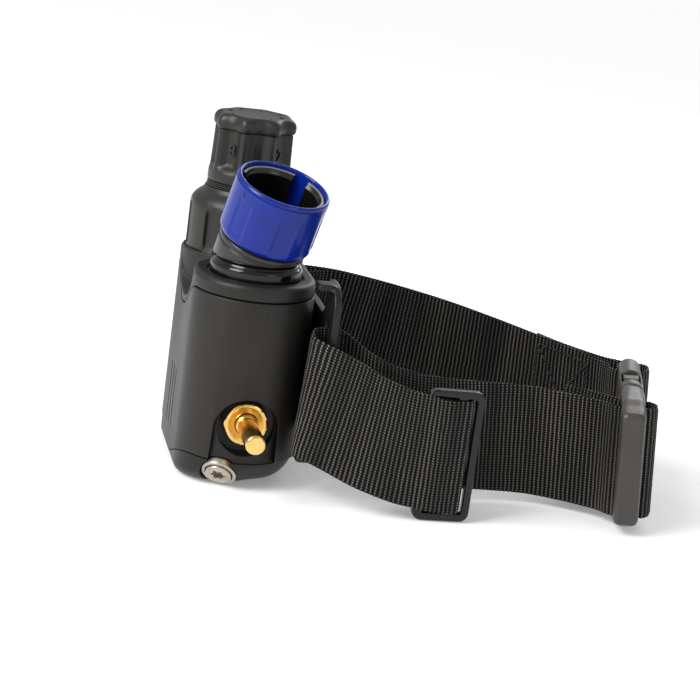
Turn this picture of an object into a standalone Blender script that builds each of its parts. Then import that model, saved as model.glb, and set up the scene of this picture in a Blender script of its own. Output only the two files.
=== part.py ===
"""Belt-mounted breathing air regulator: housing with a flow knob, a swivelling outlet, a brass inlet
and an adjustable waist belt. Metres, +Z up. The belt lies in a loop behind the housing (+Y)."""
import bpy
import bmesh
from math import atan2, cos, pi, radians, sin, tau
from mathutils import Matrix, Vector

MM = 0.001
GAP = 0.3                    # clearance between pieces that touch, mm

# Driving dimensions, in millimetres, about the housing: columns stand at x = -COLUMN_X and +COLUMN_X
COLUMN_X = 23.3
SHELL_R = 26.4               # outside radius of the two columns
SHELL_WALL = 1.6
CORE_R = SHELL_R - SHELL_WALL - GAP
COVER_TOP = 90.5
COVER_LOW = 83.6             # lower edge of the top cover away from the front dip
DIP_DEPTH = 14.0             # the cover's edge dips this far between the columns, at the front
DIP_HALF = 30.0
CORE_TOP = 82.0
WAVE_LOW = 3.0               # lower edge of the outer shell, mid front
WAVE_RISE = 9.5
WAVE_HALF = 40.0
BASE_EDGE = 4.0              # rounding under the flat front
BASE_DOME = (15.0, 9.0)      # added under the two ends: radial size and height
BASE_REAR = (10.0, 14.0)     # added under the rear
INLET_Z = 29.2
ARCH_R = 14.0
ARCH_Z = 27.0
SCOOP_CENTRE = (0.0, -30.6, 97.0)
SCOOP_SIZE = (24.0, 19.0, 24.5)
COVER_LINER = 2.0            # thickness of the cover behind the scoop

# Outlet column
OUTLET_RECESS_R = 20.6
OUTLET_BASE_R = 19.8
OUTLET_BORE_R = 14.5
OUTLET_FLOOR = 88.0
ELBOW_Z = 98.2               # plane between the swivel base and the angled elbow
OUTLET_TILT = (0.2755, 0.1823, 1.0)
ELBOW_R = 18.9
COLLAR_START = 8.3           # distances along the tilted axis
COLLAR_LENGTH = 26.8
COLLAR_R = 20.5
COLLAR_BORE_R = 18.6
SLEEVE_R = 18.2
SLEEVE_BORE_R = 15.8
SLEEVE_END = 33.4

# Flow control column
GLAND_R = 24.6
GLAND_FLOOR = 88.0
GLAND_TOP = 118.0
KNOB_LOW = 120.8
KNOB_TOP = 144.6
CAP_TOP = 151.4
KNOB_R = 18.4
LOBES = 8
VALVE_BORE_R = 12.5
VALVE_FLOOR = 40.0

# Belt
WEB_WIDTH = 50.0
WEB_THICK = 1.6
PLATE_FRONT = 29.0
PLATE_BACK = 32.3
PLATE_LOW = 15.0
PLATE_HIGH = 94.0
PLATE_HALF = 57.0
PLATE_WAIST = (24.0, 78.0)   # the plate is lower than its ends between the slots
BAR_INNER = 50.0
SLOT_INNER = 44.0
SLOT_Z = 50.0
SLOT_HALF = 27.5
SLIDER_X = 69.0
SLIDER_Y = (71.0, 96.0)
SLIDER_BAR_Y = (84.5, 88.5)
SLIDER_HEIGHT = 58.0
SLIDER_THICK = 3.6

# Buckle, in its own frame: u runs along the buckle from its near bar, w across its thickness
BUCKLE_AT = (76.0, 162.6, 29.6)
BUCKLE_ALONG = (-0.957, 0.290)
BUCKLE_LEAN = 5.0
BUCKLE_HALF_H = 29.2
BUCKLE_HALF_T = 5.6
RAIL_INNER = 25.6
MALE_END = 36.0
FEMALE_START = 37.5
FEMALE_END = 87.0
FEMALE_CAVITY_END = 68.0

RING_STEPS = 48              # faces round the visible turned parts
SIDE_STEPS = 10              # faces along each flat side of the housing
END_STEPS = 20               # faces round each column of the housing


# ---------------------------------------------------------------- helpers

def material(name, colour, roughness, metallic=0.0):
    mat = bpy.data.materials.get(name)
    if mat:
        return mat
    mat = bpy.data.materials.new(name)
    mat.use_nodes = True
    shader = mat.node_tree.nodes["Principled BSDF"]
    shader.inputs["Base Color"].default_value = (*colour, 1.0)
    shader.inputs["Roughness"].default_value = roughness
    shader.inputs["Metallic"].default_value = metallic
    return mat


def finish_object(name, bm, mat, parent=None, at=(0, 0, 0), smooth=False):
    """Turns a bmesh in millimetres into an object, with its origin at `at` (millimetres)."""
    bmesh.ops.recalc_face_normals(bm, faces=bm.faces)
    bmesh.ops.scale(bm, vec=(MM, MM, MM), verts=bm.verts)
    mesh = bpy.data.meshes.new(name)
    bm.to_mesh(mesh)
    bm.free()
    for face in mesh.polygons:
        face.use_smooth = smooth
    obj = bpy.data.objects.new(name, mesh)
    bpy.context.collection.objects.link(obj)
    obj.location = Vector(at) * MM
    obj.parent = parent
    if mat:
        mesh.materials.append(mat)
    return obj


def empty(name, at, rotation=None, parent=None):
    obj = bpy.data.objects.new(name, None)
    bpy.context.collection.objects.link(obj)
    obj.location = Vector(at) * MM
    if rotation:
        obj.rotation_euler = rotation.to_euler()
    obj.parent = parent
    return obj


def join_loops(bm, loops, closed_profile):
    """Skins a list of point loops; a single point closes to a pole. Ends are capped unless closed."""
    rings = [[bm.verts.new(p) for p in loop] for loop in loops]
    pairs = list(zip(rings, rings[1:]))
    if closed_profile:
        pairs.append((rings[-1], rings[0]))
    for low, high in pairs:
        count = max(len(low), len(high))
        for i in range(count):
            j = (i + 1) % count
            if len(low) == 1:
                bm.faces.new((low[0], high[j], high[i]))
            elif len(high) == 1:
                bm.faces.new((low[i], low[j], high[0]))
            else:
                bm.faces.new((low[i], low[j], high[j], high[i]))
    if not closed_profile:
        for ring in (rings[0], rings[-1]):
            if len(ring) > 1:
                bm.faces.new(ring)


def turned(name, profile, mat, parent=None, at=(0, 0, 0), steps=RING_STEPS, ring=True, shape=None):
    """Revolves (radius, z) points about Z. `shape(angle, radius, z)` may change the radius."""
    loops = []
    for radius, z in profile:
        if radius < 1e-6:
            loops.append([(0.0, 0.0, z)])
            continue
        loop = []
        for i in range(steps):
            angle = tau * i / steps
            r = shape(angle, radius, z) if shape else radius
            loop.append((r * cos(angle), r * sin(angle), z))
        loops.append(loop)
    bm = bmesh.new()
    join_loops(bm, loops, closed_profile=ring)
    return finish_object(name, bm, mat, parent, at, smooth=True)


def box_mesh(bm, low, high, edge=0.0, segments=2):
    """Adds a box between two corners, with its edges rounded by `edge`."""
    made = bmesh.ops.create_cube(bm, size=1.0)
    verts = made["verts"]
    size = [b - a for a, b in zip(low, high)]
    centre = [(a + b) / 2 for a, b in zip(low, high)]
    bmesh.ops.scale(bm, vec=size, verts=verts)
    bmesh.ops.translate(bm, vec=centre, verts=verts)
    if edge:
        edges = list({e for v in verts for e in v.link_edges})
        bmesh.ops.bevel(bm, geom=edges, offset=edge, segments=segments, affect="EDGES", profile=0.5)


def box(name, low, high, mat, parent=None, edge=0.0, segments=2):
    bm = bmesh.new()
    box_mesh(bm, low, high, edge, segments)
    return finish_object(name, bm, mat, parent)


def prism(name, outline, depth, mat=None, parent=None, plane="XZ"):
    """Extrudes a flat outline. XZ outlines run along Y, XY outlines along Z, YZ outlines along X."""
    order = {"XZ": (0, 2, 1), "XY": (0, 1, 2), "YZ": (1, 2, 0)}[plane]
    loops = []
    for level in depth:
        loop = []
        for a, b in outline:
            point = [0.0, 0.0, 0.0]
            point[order[0]] = a
            point[order[1]] = b
            point[order[2]] = level
            loop.append(point)
        loops.append(loop)
    bm = bmesh.new()
    join_loops(bm, loops, closed_profile=False)
    return finish_object(name, bm, mat, parent)


def rounded_outline(low, high, radius, steps=6):
    """Rectangle outline with round corners."""
    points = []
    corners = ((high[0] - radius, high[1] - radius, 0), (low[0] + radius, high[1] - radius, 1),
               (low[0] + radius, low[1] + radius, 2), (high[0] - radius, low[1] + radius, 3))
    for cx, cy, quarter in corners:
        for i in range(steps + 1):
            angle = pi / 2 * (quarter + i / steps)
            points.append((cx + radius * cos(angle), cy + radius * sin(angle)))
    return points


def combine(target, tool, operation="DIFFERENCE"):
    """Adds an exact Boolean to target; the tool stays as a hidden wire object."""
    tool.hide_render = True
    tool.display_type = "WIRE"
    step = target.modifiers.new(tool.name, "BOOLEAN")
    step.object = tool
    step.operation = operation
    step.solver = "EXACT"
    return target


def rod(name, radius, start, end, parent=None, steps=40):
    """Straight cylinder between two points, used as a cutting tool."""
    start = Vector(start)
    along = Vector(end) - start
    turn = along.to_track_quat("Z", "Y").to_matrix().to_4x4()
    bm = bmesh.new()
    bmesh.ops.create_cone(bm, segments=steps, radius1=radius, radius2=radius, depth=along.length,
                          cap_ends=True)
    bmesh.ops.transform(bm, matrix=Matrix.Translation(start + along / 2) @ turn, verts=bm.verts)
    return finish_object(name, bm, None, parent)


# ---------------------------------------------------------------- housing outline

def housing_stations():
    """Points round the housing: (column centre x, direction angle) in order, counter-clockwise."""
    stations = []
    for side in (1, -1):
        start = -pi / 2 if side > 0 else pi / 2
        for i in range(END_STEPS + 1):
            stations.append((side * COLUMN_X, start + pi * i / END_STEPS))
        for i in range(1, SIDE_STEPS):
            stations.append((side * COLUMN_X * (1 - 2 * i / SIDE_STEPS), start + pi))
    return stations


def wave(x, half, depth):
    """Smooth hump: depth at x = 0, falling to nothing at x = half."""
    return depth * 0.5 * (1 + cos(pi * min(abs(x) / half, 1.0)))


def housing_loop(radius, height):
    """Loop round the housing. height is a number or a function of (x, y)."""
    loop = []
    for centre, angle in housing_stations():
        x = centre + radius * cos(angle)
        y = radius * sin(angle)
        z = height(x, y) if callable(height) else height
        loop.append((x, y, z))
    return loop


def base_rounding(angle):
    """Radial size and height of the base's rounding in a direction."""
    dome = cos(angle) ** 2
    rear = max(0.0, sin(angle))
    return [BASE_EDGE + dome * d + rear * r for d, r in zip(BASE_DOME, BASE_REAR)]


def base_loop(outer, level):
    """Loop on the rounded base; level runs from 0 at the wall to 1 at the flat underside."""
    loop = []
    for centre, angle in housing_stations():
        radial, tall = base_rounding(angle)
        swing = level * pi / 2
        radius = outer - radial * (1 - cos(swing))
        loop.append((centre + radius * cos(angle), radius * sin(angle), tall * (1 - sin(swing))))
    return loop


def shell_low(x, _y):
    """Height of the outer shell's lower edge."""
    return WAVE_LOW + WAVE_RISE - wave(x, WAVE_HALF, WAVE_RISE)


def cover_low(x, y):
    """Height of the top cover's lower edge, with its dip at the front."""
    front = y < 0
    return COVER_LOW - (wave(x, DIP_HALF, DIP_DEPTH) if front else 0.0)


def scoop(name, grow=0.0):
    """Ellipsoid that hollows the front between the two columns, kept clear of the columns."""
    bm = bmesh.new()
    bmesh.ops.create_uvsphere(bm, u_segments=28, v_segments=18, radius=1.0)
    bmesh.ops.scale(bm, vec=[s + grow for s in SCOOP_SIZE], verts=bm.verts)
    bmesh.ops.translate(bm, vec=SCOOP_CENTRE, verts=bm.verts)
    hollow = finish_object(name, bm, None, smooth=True)
    for side, word in ((-1, "left"), (1, "right")):
        column = rod("%s_%s_column" % (name, word), SHELL_R - 0.15 - grow, (side * COLUMN_X, 0, 60),
                     (side * COLUMN_X, 0, 130), steps=2 * END_STEPS)
        combine(hollow, column)
    return hollow


# ---------------------------------------------------------------- housing

def make_shell(mat):
    """Outer shell: an open sleeve with a waved lower edge, a dipped top edge and an inlet arch."""
    def top(x, y):
        return cover_low(x, y) - GAP

    loops = [housing_loop(SHELL_R - 0.6, shell_low),
             housing_loop(SHELL_R, lambda x, y: shell_low(x, y) + 0.7),
             housing_loop(SHELL_R, lambda x, y: top(x, y) - 0.7),
             housing_loop(SHELL_R - 0.5, top),
             housing_loop(SHELL_R - SHELL_WALL, top),
             housing_loop(SHELL_R - SHELL_WALL, shell_low)]
    bm = bmesh.new()
    join_loops(bm, loops, closed_profile=True)
    shell = finish_object("housing_shell", bm, mat, smooth=True)
    reach = SHELL_R + COLUMN_X
    arch = rod("inlet_arch_cut", ARCH_R, (reach - 16, 0, ARCH_Z), (reach + 4, 0, ARCH_Z))
    foot = box("inlet_foot_cut", (reach - 16, -ARCH_R, -4), (reach + 4, ARCH_R, ARCH_Z), None)
    combine(shell, arch)
    combine(shell, foot)
    for i, x in enumerate((-9.0, -2.0, 5.0)):
        combine(shell, box("front_groove_%d_cut" % (i + 1), (x - 0.8, -SHELL_R - 2, 13),
                           (x + 0.8, -SHELL_R + 0.8, 38), None))
    return shell


def make_cover(mat):
    """Top cover: a cap over the core with two round seats and a scoop between them."""
    inside = SHELL_R - SHELL_WALL
    loops = [housing_loop(inside - 2, cover_low),
             housing_loop(SHELL_R - 0.5, cover_low),
             housing_loop(SHELL_R, lambda x, y: cover_low(x, y) + 0.7),
             housing_loop(SHELL_R, COVER_TOP - 1.3),
             housing_loop(SHELL_R - 0.4, COVER_TOP - 0.4),
             housing_loop(SHELL_R - 1.3, COVER_TOP)]
    bm = bmesh.new()
    join_loops(bm, loops, closed_profile=False)
    cover = finish_object("top_cover", bm, mat, smooth=True)
    above = COVER_TOP + 5
    bm = bmesh.new()
    join_loops(bm, [housing_loop(inside, 55), housing_loop(inside, CORE_TOP + GAP)], closed_profile=False)
    hollow = finish_object("cover_inside_cut", bm, None)
    combine(hollow, scoop("liner_scoop", grow=COVER_LINER))
    combine(cover, hollow)
    combine(cover, scoop("cover_scoop"))
    combine(cover, rod("outlet_seat_cut", OUTLET_RECESS_R, (COLUMN_X, 0, OUTLET_FLOOR - GAP),
                       (COLUMN_X, 0, above), steps=RING_STEPS))
    combine(cover, rod("outlet_bore_cut", OUTLET_BORE_R, (COLUMN_X, 0, CORE_TOP - 4),
                       (COLUMN_X, 0, above)))
    combine(cover, rod("gland_seat_cut", GLAND_R + GAP, (-COLUMN_X, 0, GLAND_FLOOR - GAP),
                       (-COLUMN_X, 0, above), steps=RING_STEPS))
    combine(cover, rod("gland_bore_cut", VALVE_BORE_R, (-COLUMN_X, 0, CORE_TOP - 4),
                       (-COLUMN_X, 0, above)))
    return cover


def make_core(mat):
    """Inner body: solid block with the domed base, valve bore, filter bore and inlet pocket."""
    loops = [base_loop(CORE_R, level / 5) for level in range(5, -1, -1)]
    loops.append(housing_loop(CORE_R, CORE_TOP))
    bm = bmesh.new()
    join_loops(bm, loops, closed_profile=False)
    core = finish_object("inner_body", bm, mat, smooth=True)
    above = CORE_TOP + 5
    combine(core, scoop("core_scoop", grow=COVER_LINER + GAP))
    combine(core, rod("valve_bore_cut", VALVE_BORE_R, (-COLUMN_X, 0, VALVE_FLOOR), (-COLUMN_X, 0, above)))
    combine(core, rod("filter_bore_cut", OUTLET_BORE_R, (COLUMN_X, 0, VALVE_FLOOR), (COLUMN_X, 0, above)))
    reach = CORE_R + COLUMN_X
    combine(core, rod("inlet_pocket_cut", 11.4, (reach - 8, 0, INLET_Z), (reach + 5, 0, INLET_Z)))
    centre, outward = plug_place()
    combine(core, rod("plug_pocket_cut", 8.2, centre - outward * 3.4, centre + outward * 8))
    return core


def plug_place():
    """Centre and outward direction of the drain plug on the domed base."""
    azimuth = radians(-23.5)
    swing = radians(29)
    radial, tall = base_rounding(azimuth)
    radius = CORE_R - radial * (1 - cos(swing))
    centre = Vector((COLUMN_X + radius * cos(azimuth), radius * sin(azimuth), tall * (1 - sin(swing))))
    level = cos(swing) * tall
    fall = sin(swing) * radial
    outward = Vector((level * cos(azimuth), level * sin(azimuth), -fall)).normalized()
    return centre, outward


def make_plug(steel, washer_mat):
    centre, outward = plug_place()
    turn = outward.to_track_quat("Z", "Y").to_matrix()
    frame = empty("drain_plug_axis", centre, turn)
    turned("drain_plug_washer", [(6.1, -3.0), (7.8, -3.0), (7.8, -0.4), (7.3, 0.2), (6.1, 0.2)], washer_mat,
           frame, steps=36)

    def six_lobes(angle, radius, z):
        return radius + 0.45 * cos(6 * angle) if radius < 3.5 else radius
    turned("drain_plug", [(0, -3.0), (5.8, -3.0), (5.8, 0.5), (5.2, 1.1), (2.7, 1.1), (2.4, -1.4), (0, -1.4)],
           steel, frame, steps=36, ring=False, shape=six_lobes)


def make_inlet(brass, seal_mat):
    """Inlet coupling on the +X end: hex nut, plug-in stem and a washer behind the nut."""
    face = COLUMN_X + CORE_R - 8
    turn = Matrix.Rotation(pi / 2, 3, "Y")
    frame = empty("inlet_axis", (face, 0, INLET_Z), turn)
    turned("inlet_washer", [(5.0, GAP), (9.6, GAP), (9.6, 1.3), (5.0, 1.3)], seal_mat, frame, steps=36)
    corner = 10.3

    def hexagon(angle, radius, z):
        turn_in = (angle + pi / 6) % (pi / 3) - pi / 6
        return min(radius, corner * cos(pi / 6) / cos(turn_in))
    turned("inlet_nut", [(5.0, 1.6), (corner, 1.6), (corner, 5.2), (9.1, 6.2), (5.0, 6.2)],
           brass, frame, steps=36, shape=hexagon)
    turned("inlet_stem", [(0, GAP), (4.7, GAP), (4.7, 7.4), (4.3, 7.8), (4.3, 33.8), (3.7, 34.4), (0, 34.4)],
           brass, frame, steps=36, ring=False)


# ---------------------------------------------------------------- flow control column

def lobed(depth, sharp=2.0):
    """Radius change that leaves LOBES hand grips with concave flutes between them."""
    def shape(angle, radius, z):
        hollow = (0.5 + 0.5 * cos(LOBES * angle)) ** sharp
        return radius - depth * hollow
    return shape


def make_flow_column(rubber, dark, grey, metal):
    at = (-COLUMN_X, 0, 0)

    def fluted(angle, radius, z):
        between = abs((angle + pi / 8) % (pi / 4) - pi / 8)
        in_flute = 94.5 < z < 108.0 and radius > 20 and between < radians(7)
        return radius - 1.2 if in_flute else radius
    gland_profile = [(6.2, GLAND_FLOOR), (GLAND_R, GLAND_FLOOR), (GLAND_R, 94.0), (GLAND_R, 95.0),
                     (GLAND_R + 0.1, 107.0), (GLAND_R, 109.6), (24.2, 111.5), (23.0, 113.4), (20.6, 115.4),
                     (19.2, 117.0), (18.9, GLAND_TOP), (6.2, GLAND_TOP)]
    turned("flow_gland", gland_profile, rubber, at=at, steps=72, shape=fluted)
    neck = [(6.2, GLAND_TOP + GAP), (18.4, GLAND_TOP + GAP), (18.4, 118.9), (17.9, 119.3), (18.4, 119.7),
            (18.4, KNOB_LOW - GAP), (6.2, KNOB_LOW - GAP)]
    turned("detent_ring", neck, grey, at=at)
    grip_low = KNOB_LOW + 6.4
    grip = lobed(1.9)

    def knob_shape(angle, radius, z):
        return grip(angle, radius, z) if grip_low < z and radius > 10 else radius
    knob_profile = [(4.3, KNOB_LOW), (17.9, KNOB_LOW), (KNOB_R, KNOB_LOW + 0.6), (KNOB_R - 0.1, grip_low),
                    (KNOB_R - 0.2, grip_low + 2.0), (KNOB_R - 0.6, KNOB_TOP - GAP), (4.3, KNOB_TOP - GAP)]
    turned("flow_knob", knob_profile, rubber, at=at, steps=64, shape=knob_shape)
    cap_lobes = lobed(2.0, sharp=1.5)

    def cap_shape(angle, radius, z):
        return cap_lobes(angle, radius, z) if radius > 15 else radius
    cap_profile = [(0, KNOB_TOP), (KNOB_R - 0.5, KNOB_TOP), (KNOB_R + 0.2, KNOB_TOP + 1.0),
                   (KNOB_R + 0.2, CAP_TOP - 2.8), (KNOB_R - 0.7, CAP_TOP - 1.5), (15.8, CAP_TOP - 0.8),
                   (12.0, CAP_TOP - 0.2), (0, CAP_TOP)]
    turned("knob_cap", cap_profile, dark, at=at, steps=64, ring=False, shape=cap_shape)
    spindle = [(0, 64.0), (3.2, 64.0), (4.0, 65.0), (4.0, 76.0), (6.0, 76.0), (6.0, 79.0), (4.0, 79.0),
               (4.0, KNOB_TOP - 1.0), (0, KNOB_TOP - 1.0)]
    turned("valve_spindle", spindle, metal, at=at, steps=24, ring=False)
    poppet = [(0, 44.4), (4.8, 44.4), (7.6, 47.2), (11.2, 48.6), (11.2, 50.0), (4.4, 50.2), (4.4, 58.0),
              (0, 58.0)]
    turned("valve_poppet", poppet, metal, at=at, steps=24, ring=False)
    seat = [(4.0, VALVE_FLOOR + GAP), (VALVE_BORE_R - GAP, VALVE_FLOOR + GAP), (VALVE_BORE_R - GAP, 46.0),
            (7.0, 46.0), (4.0, 43.0)]
    turned("poppet_seat", seat, metal, at=at, steps=24)
    make_spring("poppet_spring", metal, at)


def make_spring(name, mat, at):
    """Coil that closes the poppet, from its flange up to the gland."""
    turns = 4.5
    per_turn = 10
    radius = 9.4
    low = 51.0
    high = GLAND_FLOOR - 1.0
    path = bpy.data.curves.new(name, "CURVE")
    path.dimensions = "3D"
    path.bevel_depth = 0.6 * MM
    path.bevel_resolution = 1
    path.use_fill_caps = True
    spline = path.splines.new("POLY")
    count = int(turns * per_turn)
    spline.points.add(count)
    for i in range(count + 1):
        angle = tau * i / per_turn
        z = low + (high - low) * i / count
        spline.points[i].co = (radius * cos(angle) * MM, radius * sin(angle) * MM, z * MM, 1)
    obj = bpy.data.objects.new(name, path)
    bpy.context.collection.objects.link(obj)
    obj.location = Vector(at) * MM
    path.materials.append(mat)


# ---------------------------------------------------------------- outlet column

def tilt_frame():
    """Rotation that leans the Z axis along the angled outlet."""
    return Vector((0, 0, 1)).rotation_difference(Vector(OUTLET_TILT)).to_matrix()


def make_outlet(gloss, dark, blue, seal_mat, filter_mat, screen_mat):
    at = (COLUMN_X, 0, 0)
    base = [(OUTLET_BORE_R, OUTLET_FLOOR), (OUTLET_BASE_R, OUTLET_FLOOR), (OUTLET_BASE_R, 94.6),
            (19.5, 95.4), (18.6, 96.1), (17.6, 96.6), (17.2, 97.2), (17.2, ELBOW_Z - GAP),
            (OUTLET_BORE_R, ELBOW_Z - GAP)]
    turned("outlet_base", base, gloss, at=at)
    seal = [(OUTLET_BASE_R + 0.1, 89.0), (OUTLET_RECESS_R - 0.1, 89.0), (OUTLET_RECESS_R - 0.1, 89.8),
            (OUTLET_BASE_R + 0.1, 89.8)]
    turned("outlet_seal", seal, seal_mat, at=at)
    frame = empty("outlet_tilt", (COLUMN_X, 0, ELBOW_Z), tilt_frame())

    tube = [(OUTLET_BORE_R - 0.5, -9.0), (ELBOW_R, -9.0), (ELBOW_R, COLLAR_START - 0.9),
            (ELBOW_R - 0.8, COLLAR_START - GAP), (OUTLET_BORE_R - 0.5, COLLAR_START - GAP)]
    elbow = turned("outlet_elbow", tube, dark, frame)
    under = box("elbow_plane_cut", (COLUMN_X - 35, -35, ELBOW_Z - 30), (COLUMN_X + 35, 35, ELBOW_Z), None)
    combine(elbow, under)

    sleeve = turned("bayonet_sleeve", [(SLEEVE_BORE_R, COLLAR_START), (SLEEVE_R, COLLAR_START),
                                       (SLEEVE_R, SLEEVE_END), (SLEEVE_BORE_R, SLEEVE_END)],
                    dark, frame)
    for i in range(3):
        angle = radians(25 + 120 * i)
        tool = box("sleeve_slot_%d_cut" % (i + 1), (SLEEVE_BORE_R - 4, -3.5, 16.0),
                   (SLEEVE_R + 3, 3.5, SLEEVE_END + 4), None, frame)
        tool.rotation_euler = (0, 0, angle)
        combine(sleeve, tool)
    end = COLLAR_START + COLLAR_LENGTH

    def finger_grips(angle, radius, z):
        if radius < COLLAR_R - 0.2 or not COLLAR_START + 2.0 < z < end - 7:
            return radius
        return radius - 0.5 * max(0.0, cos(8 * angle)) ** 6
    ring = [(COLLAR_BORE_R, COLLAR_START + 0.3), (COLLAR_R - 1.6, COLLAR_START + 0.3),
            (COLLAR_R - 0.5, COLLAR_START + 1.2), (COLLAR_R, COLLAR_START + 2.6),
            (COLLAR_R, end - 8.0), (COLLAR_R, end - 1.0), (COLLAR_R - 0.7, end),
            (COLLAR_BORE_R + 0.5, end), (COLLAR_BORE_R, end - 0.6)]
    turned("locking_collar", ring, blue, frame, steps=72, shape=finger_grips)

    def pleats(angle, radius, z):
        return radius - 1.6 * (0.5 - 0.5 * cos(12 * angle)) if radius > 11 else radius
    cartridge = [(6.0, 46.0), (13.8, 46.0), (13.8, 74.0), (6.0, 74.0)]
    turned("filter_cartridge", cartridge, filter_mat, at=at, steps=48, shape=pleats)
    screen = [(3.0, 74.4), (13.9, 74.4), (13.9, 76.4), (3.0, 76.4)]
    turned("filter_screen", screen, screen_mat, at=at, steps=24)


# ---------------------------------------------------------------- belt

def smooth_path(points, per_span):
    """Catmull-Rom curve through tuples of any length, with open ends."""
    out = []
    for i in range(len(points) - 1):
        p0 = points[max(i - 1, 0)]
        p1 = points[i]
        p2 = points[i + 1]
        p3 = points[min(i + 2, len(points) - 1)]
        for k in range(per_span):
            t = k / per_span
            out.append([0.5 * (2 * b + (c - a) * t + (2 * a - 5 * b + 4 * c - d) * t * t
                               + (3 * b - a - 3 * c + d) * t ** 3)
                        for a, b, c, d in zip(p0, p1, p2, p3)])
    out.append(list(points[-1]))
    return out


def strap(name, points, mat, per_span=3):
    """Webbing standing on edge along (x, y, middle height, lean x, lean y) points."""
    path = smooth_path(points, per_span)
    loops = []
    for i, (x, y, z, lean_x, lean_y) in enumerate(path):
        before = path[max(i - 1, 0)]
        after = path[min(i + 1, len(path) - 1)]
        along = Vector((after[0] - before[0], after[1] - before[1], 0)).normalized()
        up = Vector((lean_x, lean_y, 1)).normalized()
        side = along.cross(up).normalized() * WEB_THICK / 2
        middle = Vector((x, y, z))
        half = up * WEB_WIDTH / 2
        loops.append([middle - half - side, middle - half + side, middle + half + side,
                      middle + half - side])
    bm = bmesh.new()
    join_loops(bm, loops, closed_profile=False)
    return finish_object(name, bm, mat, smooth=False)


def buckle_turn():
    """Rotation of the buckle's frame: X along the buckle, Z across the webbing, leaning a little."""
    angle = atan2(BUCKLE_ALONG[1], BUCKLE_ALONG[0])
    return Matrix.Rotation(angle, 3, "Z") @ Matrix.Rotation(radians(-BUCKLE_LEAN), 3, "X")


def on_buckle(u, w):
    """Strap point, with its lean, for a place at the buckle's middle height."""
    turn = buckle_turn()
    point = Vector(BUCKLE_AT) + turn @ Vector((u, w, 0))
    up = turn @ Vector((0, 0, 1))
    return (*point, up.x / up.z, up.y / up.z)


def near_routes():
    """Routes of the near strap: the adjuster run with its fold, and the run to the buckle."""
    slot_x = (BAR_INNER + SLOT_INNER) / 2
    slot_y = (PLATE_FRONT + PLATE_BACK) / 2
    layer = SLIDER_THICK / 2 + GAP + WEB_THICK / 2
    fold_y = SLIDER_BAR_Y[1]
    web_z = SLIDER_HEIGHT / 2
    adjuster = [(slot_x, slot_y - 0.2, SLOT_Z, 0, 0), (slot_x + 0.2, 26.6, SLOT_Z, 0, 0),
                (50.6, 22.4, 49.4, 0, 0.02), (56.5, 20.8, 48, 0, 0.08), (61.5, 24.6, 46, 0, 0.18),
                (64.2, 34, 42.6, 0, 0.2), (67.6, 48, 36.4, 0, 0.13), (71.0, 62, 32.2, 0, 0.06),
                (SLIDER_X + layer, 71, 30.6, 0, 0.02), (SLIDER_X + layer, 80, web_z, 0, 0),
                (SLIDER_X + layer, fold_y, web_z, 0, 0), (SLIDER_X + layer * 0.62, fold_y + 1.7, web_z, 0, 0),
                (SLIDER_X, fold_y + 2.3, web_z, 0, 0), (SLIDER_X - layer * 0.62, fold_y + 1.7, web_z, 0, 0),
                (SLIDER_X - layer, fold_y, web_z, 0, 0), (SLIDER_X - layer, 77, web_z, 0, 0),
                (SLIDER_X - layer - 0.8, 67, 30.2, 0, 0), (SLIDER_X - layer - 2.4, 57, 32, 0, 0)]
    buckle_run = [(slot_x, slot_y + 0.2, SLOT_Z, 0, 0), (slot_x + 0.2, 36.4, 49, 0, 0),
                  (50.0, 42.5, 45.5, 0, 0), (51.0, 54, 39, 0, -0.02), (48, 72, 33.5, 0, -0.05),
                  (42, 92, 30.4, 0, -0.08), (38.4, 110, 29.2, 0, -0.09), (39, 128, 28.9, 0, -0.09),
                  (45.4, 144, 28.6, 0, -0.09)]
    for u, w in ((21.0, 13.5), (15.0, 7.5), (12.4, 2.0), (12.2, -4.0), (13.6, -8.2), (18.4, -10.4),
                 (23.2, -8.2), (24.6, -4.0), (24.8, 2.0), (27.6, 7.5), (33.0, 14.0), (39.0, 21.0),
                 (44.0, 29.0)):
        buckle_run.append(on_buckle(u, w))
    return adjuster, buckle_run


def far_routes():
    """Routes of the far strap: its loop round the plate's bar, and its sewn fold round the buckle."""
    slot_x = -(BAR_INNER + SLOT_INNER) / 2
    bar_mid = -(BAR_INNER + PLATE_HALF) / 2
    slot_y = (PLATE_FRONT + PLATE_BACK) / 2
    route = [(-56.9, 46, 51.2, 0, 0.1), (-51.0, 37.4, 51, 0, 0.04),
             (slot_x, slot_y, 51, 0, 0), (slot_x - 1.4, 27.0, 51, 0, 0), (bar_mid, 25.6, 51, 0, 0),
             (-59.6, 27.4, 51, 0, 0.03), (-61.2, 33, 51.6, 0, 0.08), (-61.4, 48, 51, 0, 0.14),
             (-61.2, 64, 48.8, 0, 0.17), (-60.2, 86, 45, 0, 0.1), (-57, 108, 41, 0, 0.04),
             (-50, 130, 36.6, 0, 0)]
    fold = [(-49.85, 130.3, 36.55, 0, 0), (-39.6, 150, 32.8, 0, -0.04), (-27, 166, 30.4, 0, -0.07)]
    for u, w in ((94.0, 14.6), (87.0, 9.6), (80.4, 8.4), (75.6, 5.0), (74.7, 0.0), (75.6, -5.0),
                 (79.6, -8.2), (85.4, -8.8), (89.8, -6.4), (92.0, 0.0), (96.0, 6.8), (101.4, 13.8)):
        fold.append(on_buckle(u, w))
    fold += [(-33.4, 162.2, 31.0, 0, -0.06), (-41.6, 151.4, 32.8, 0, -0.04)]
    return route, fold


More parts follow.
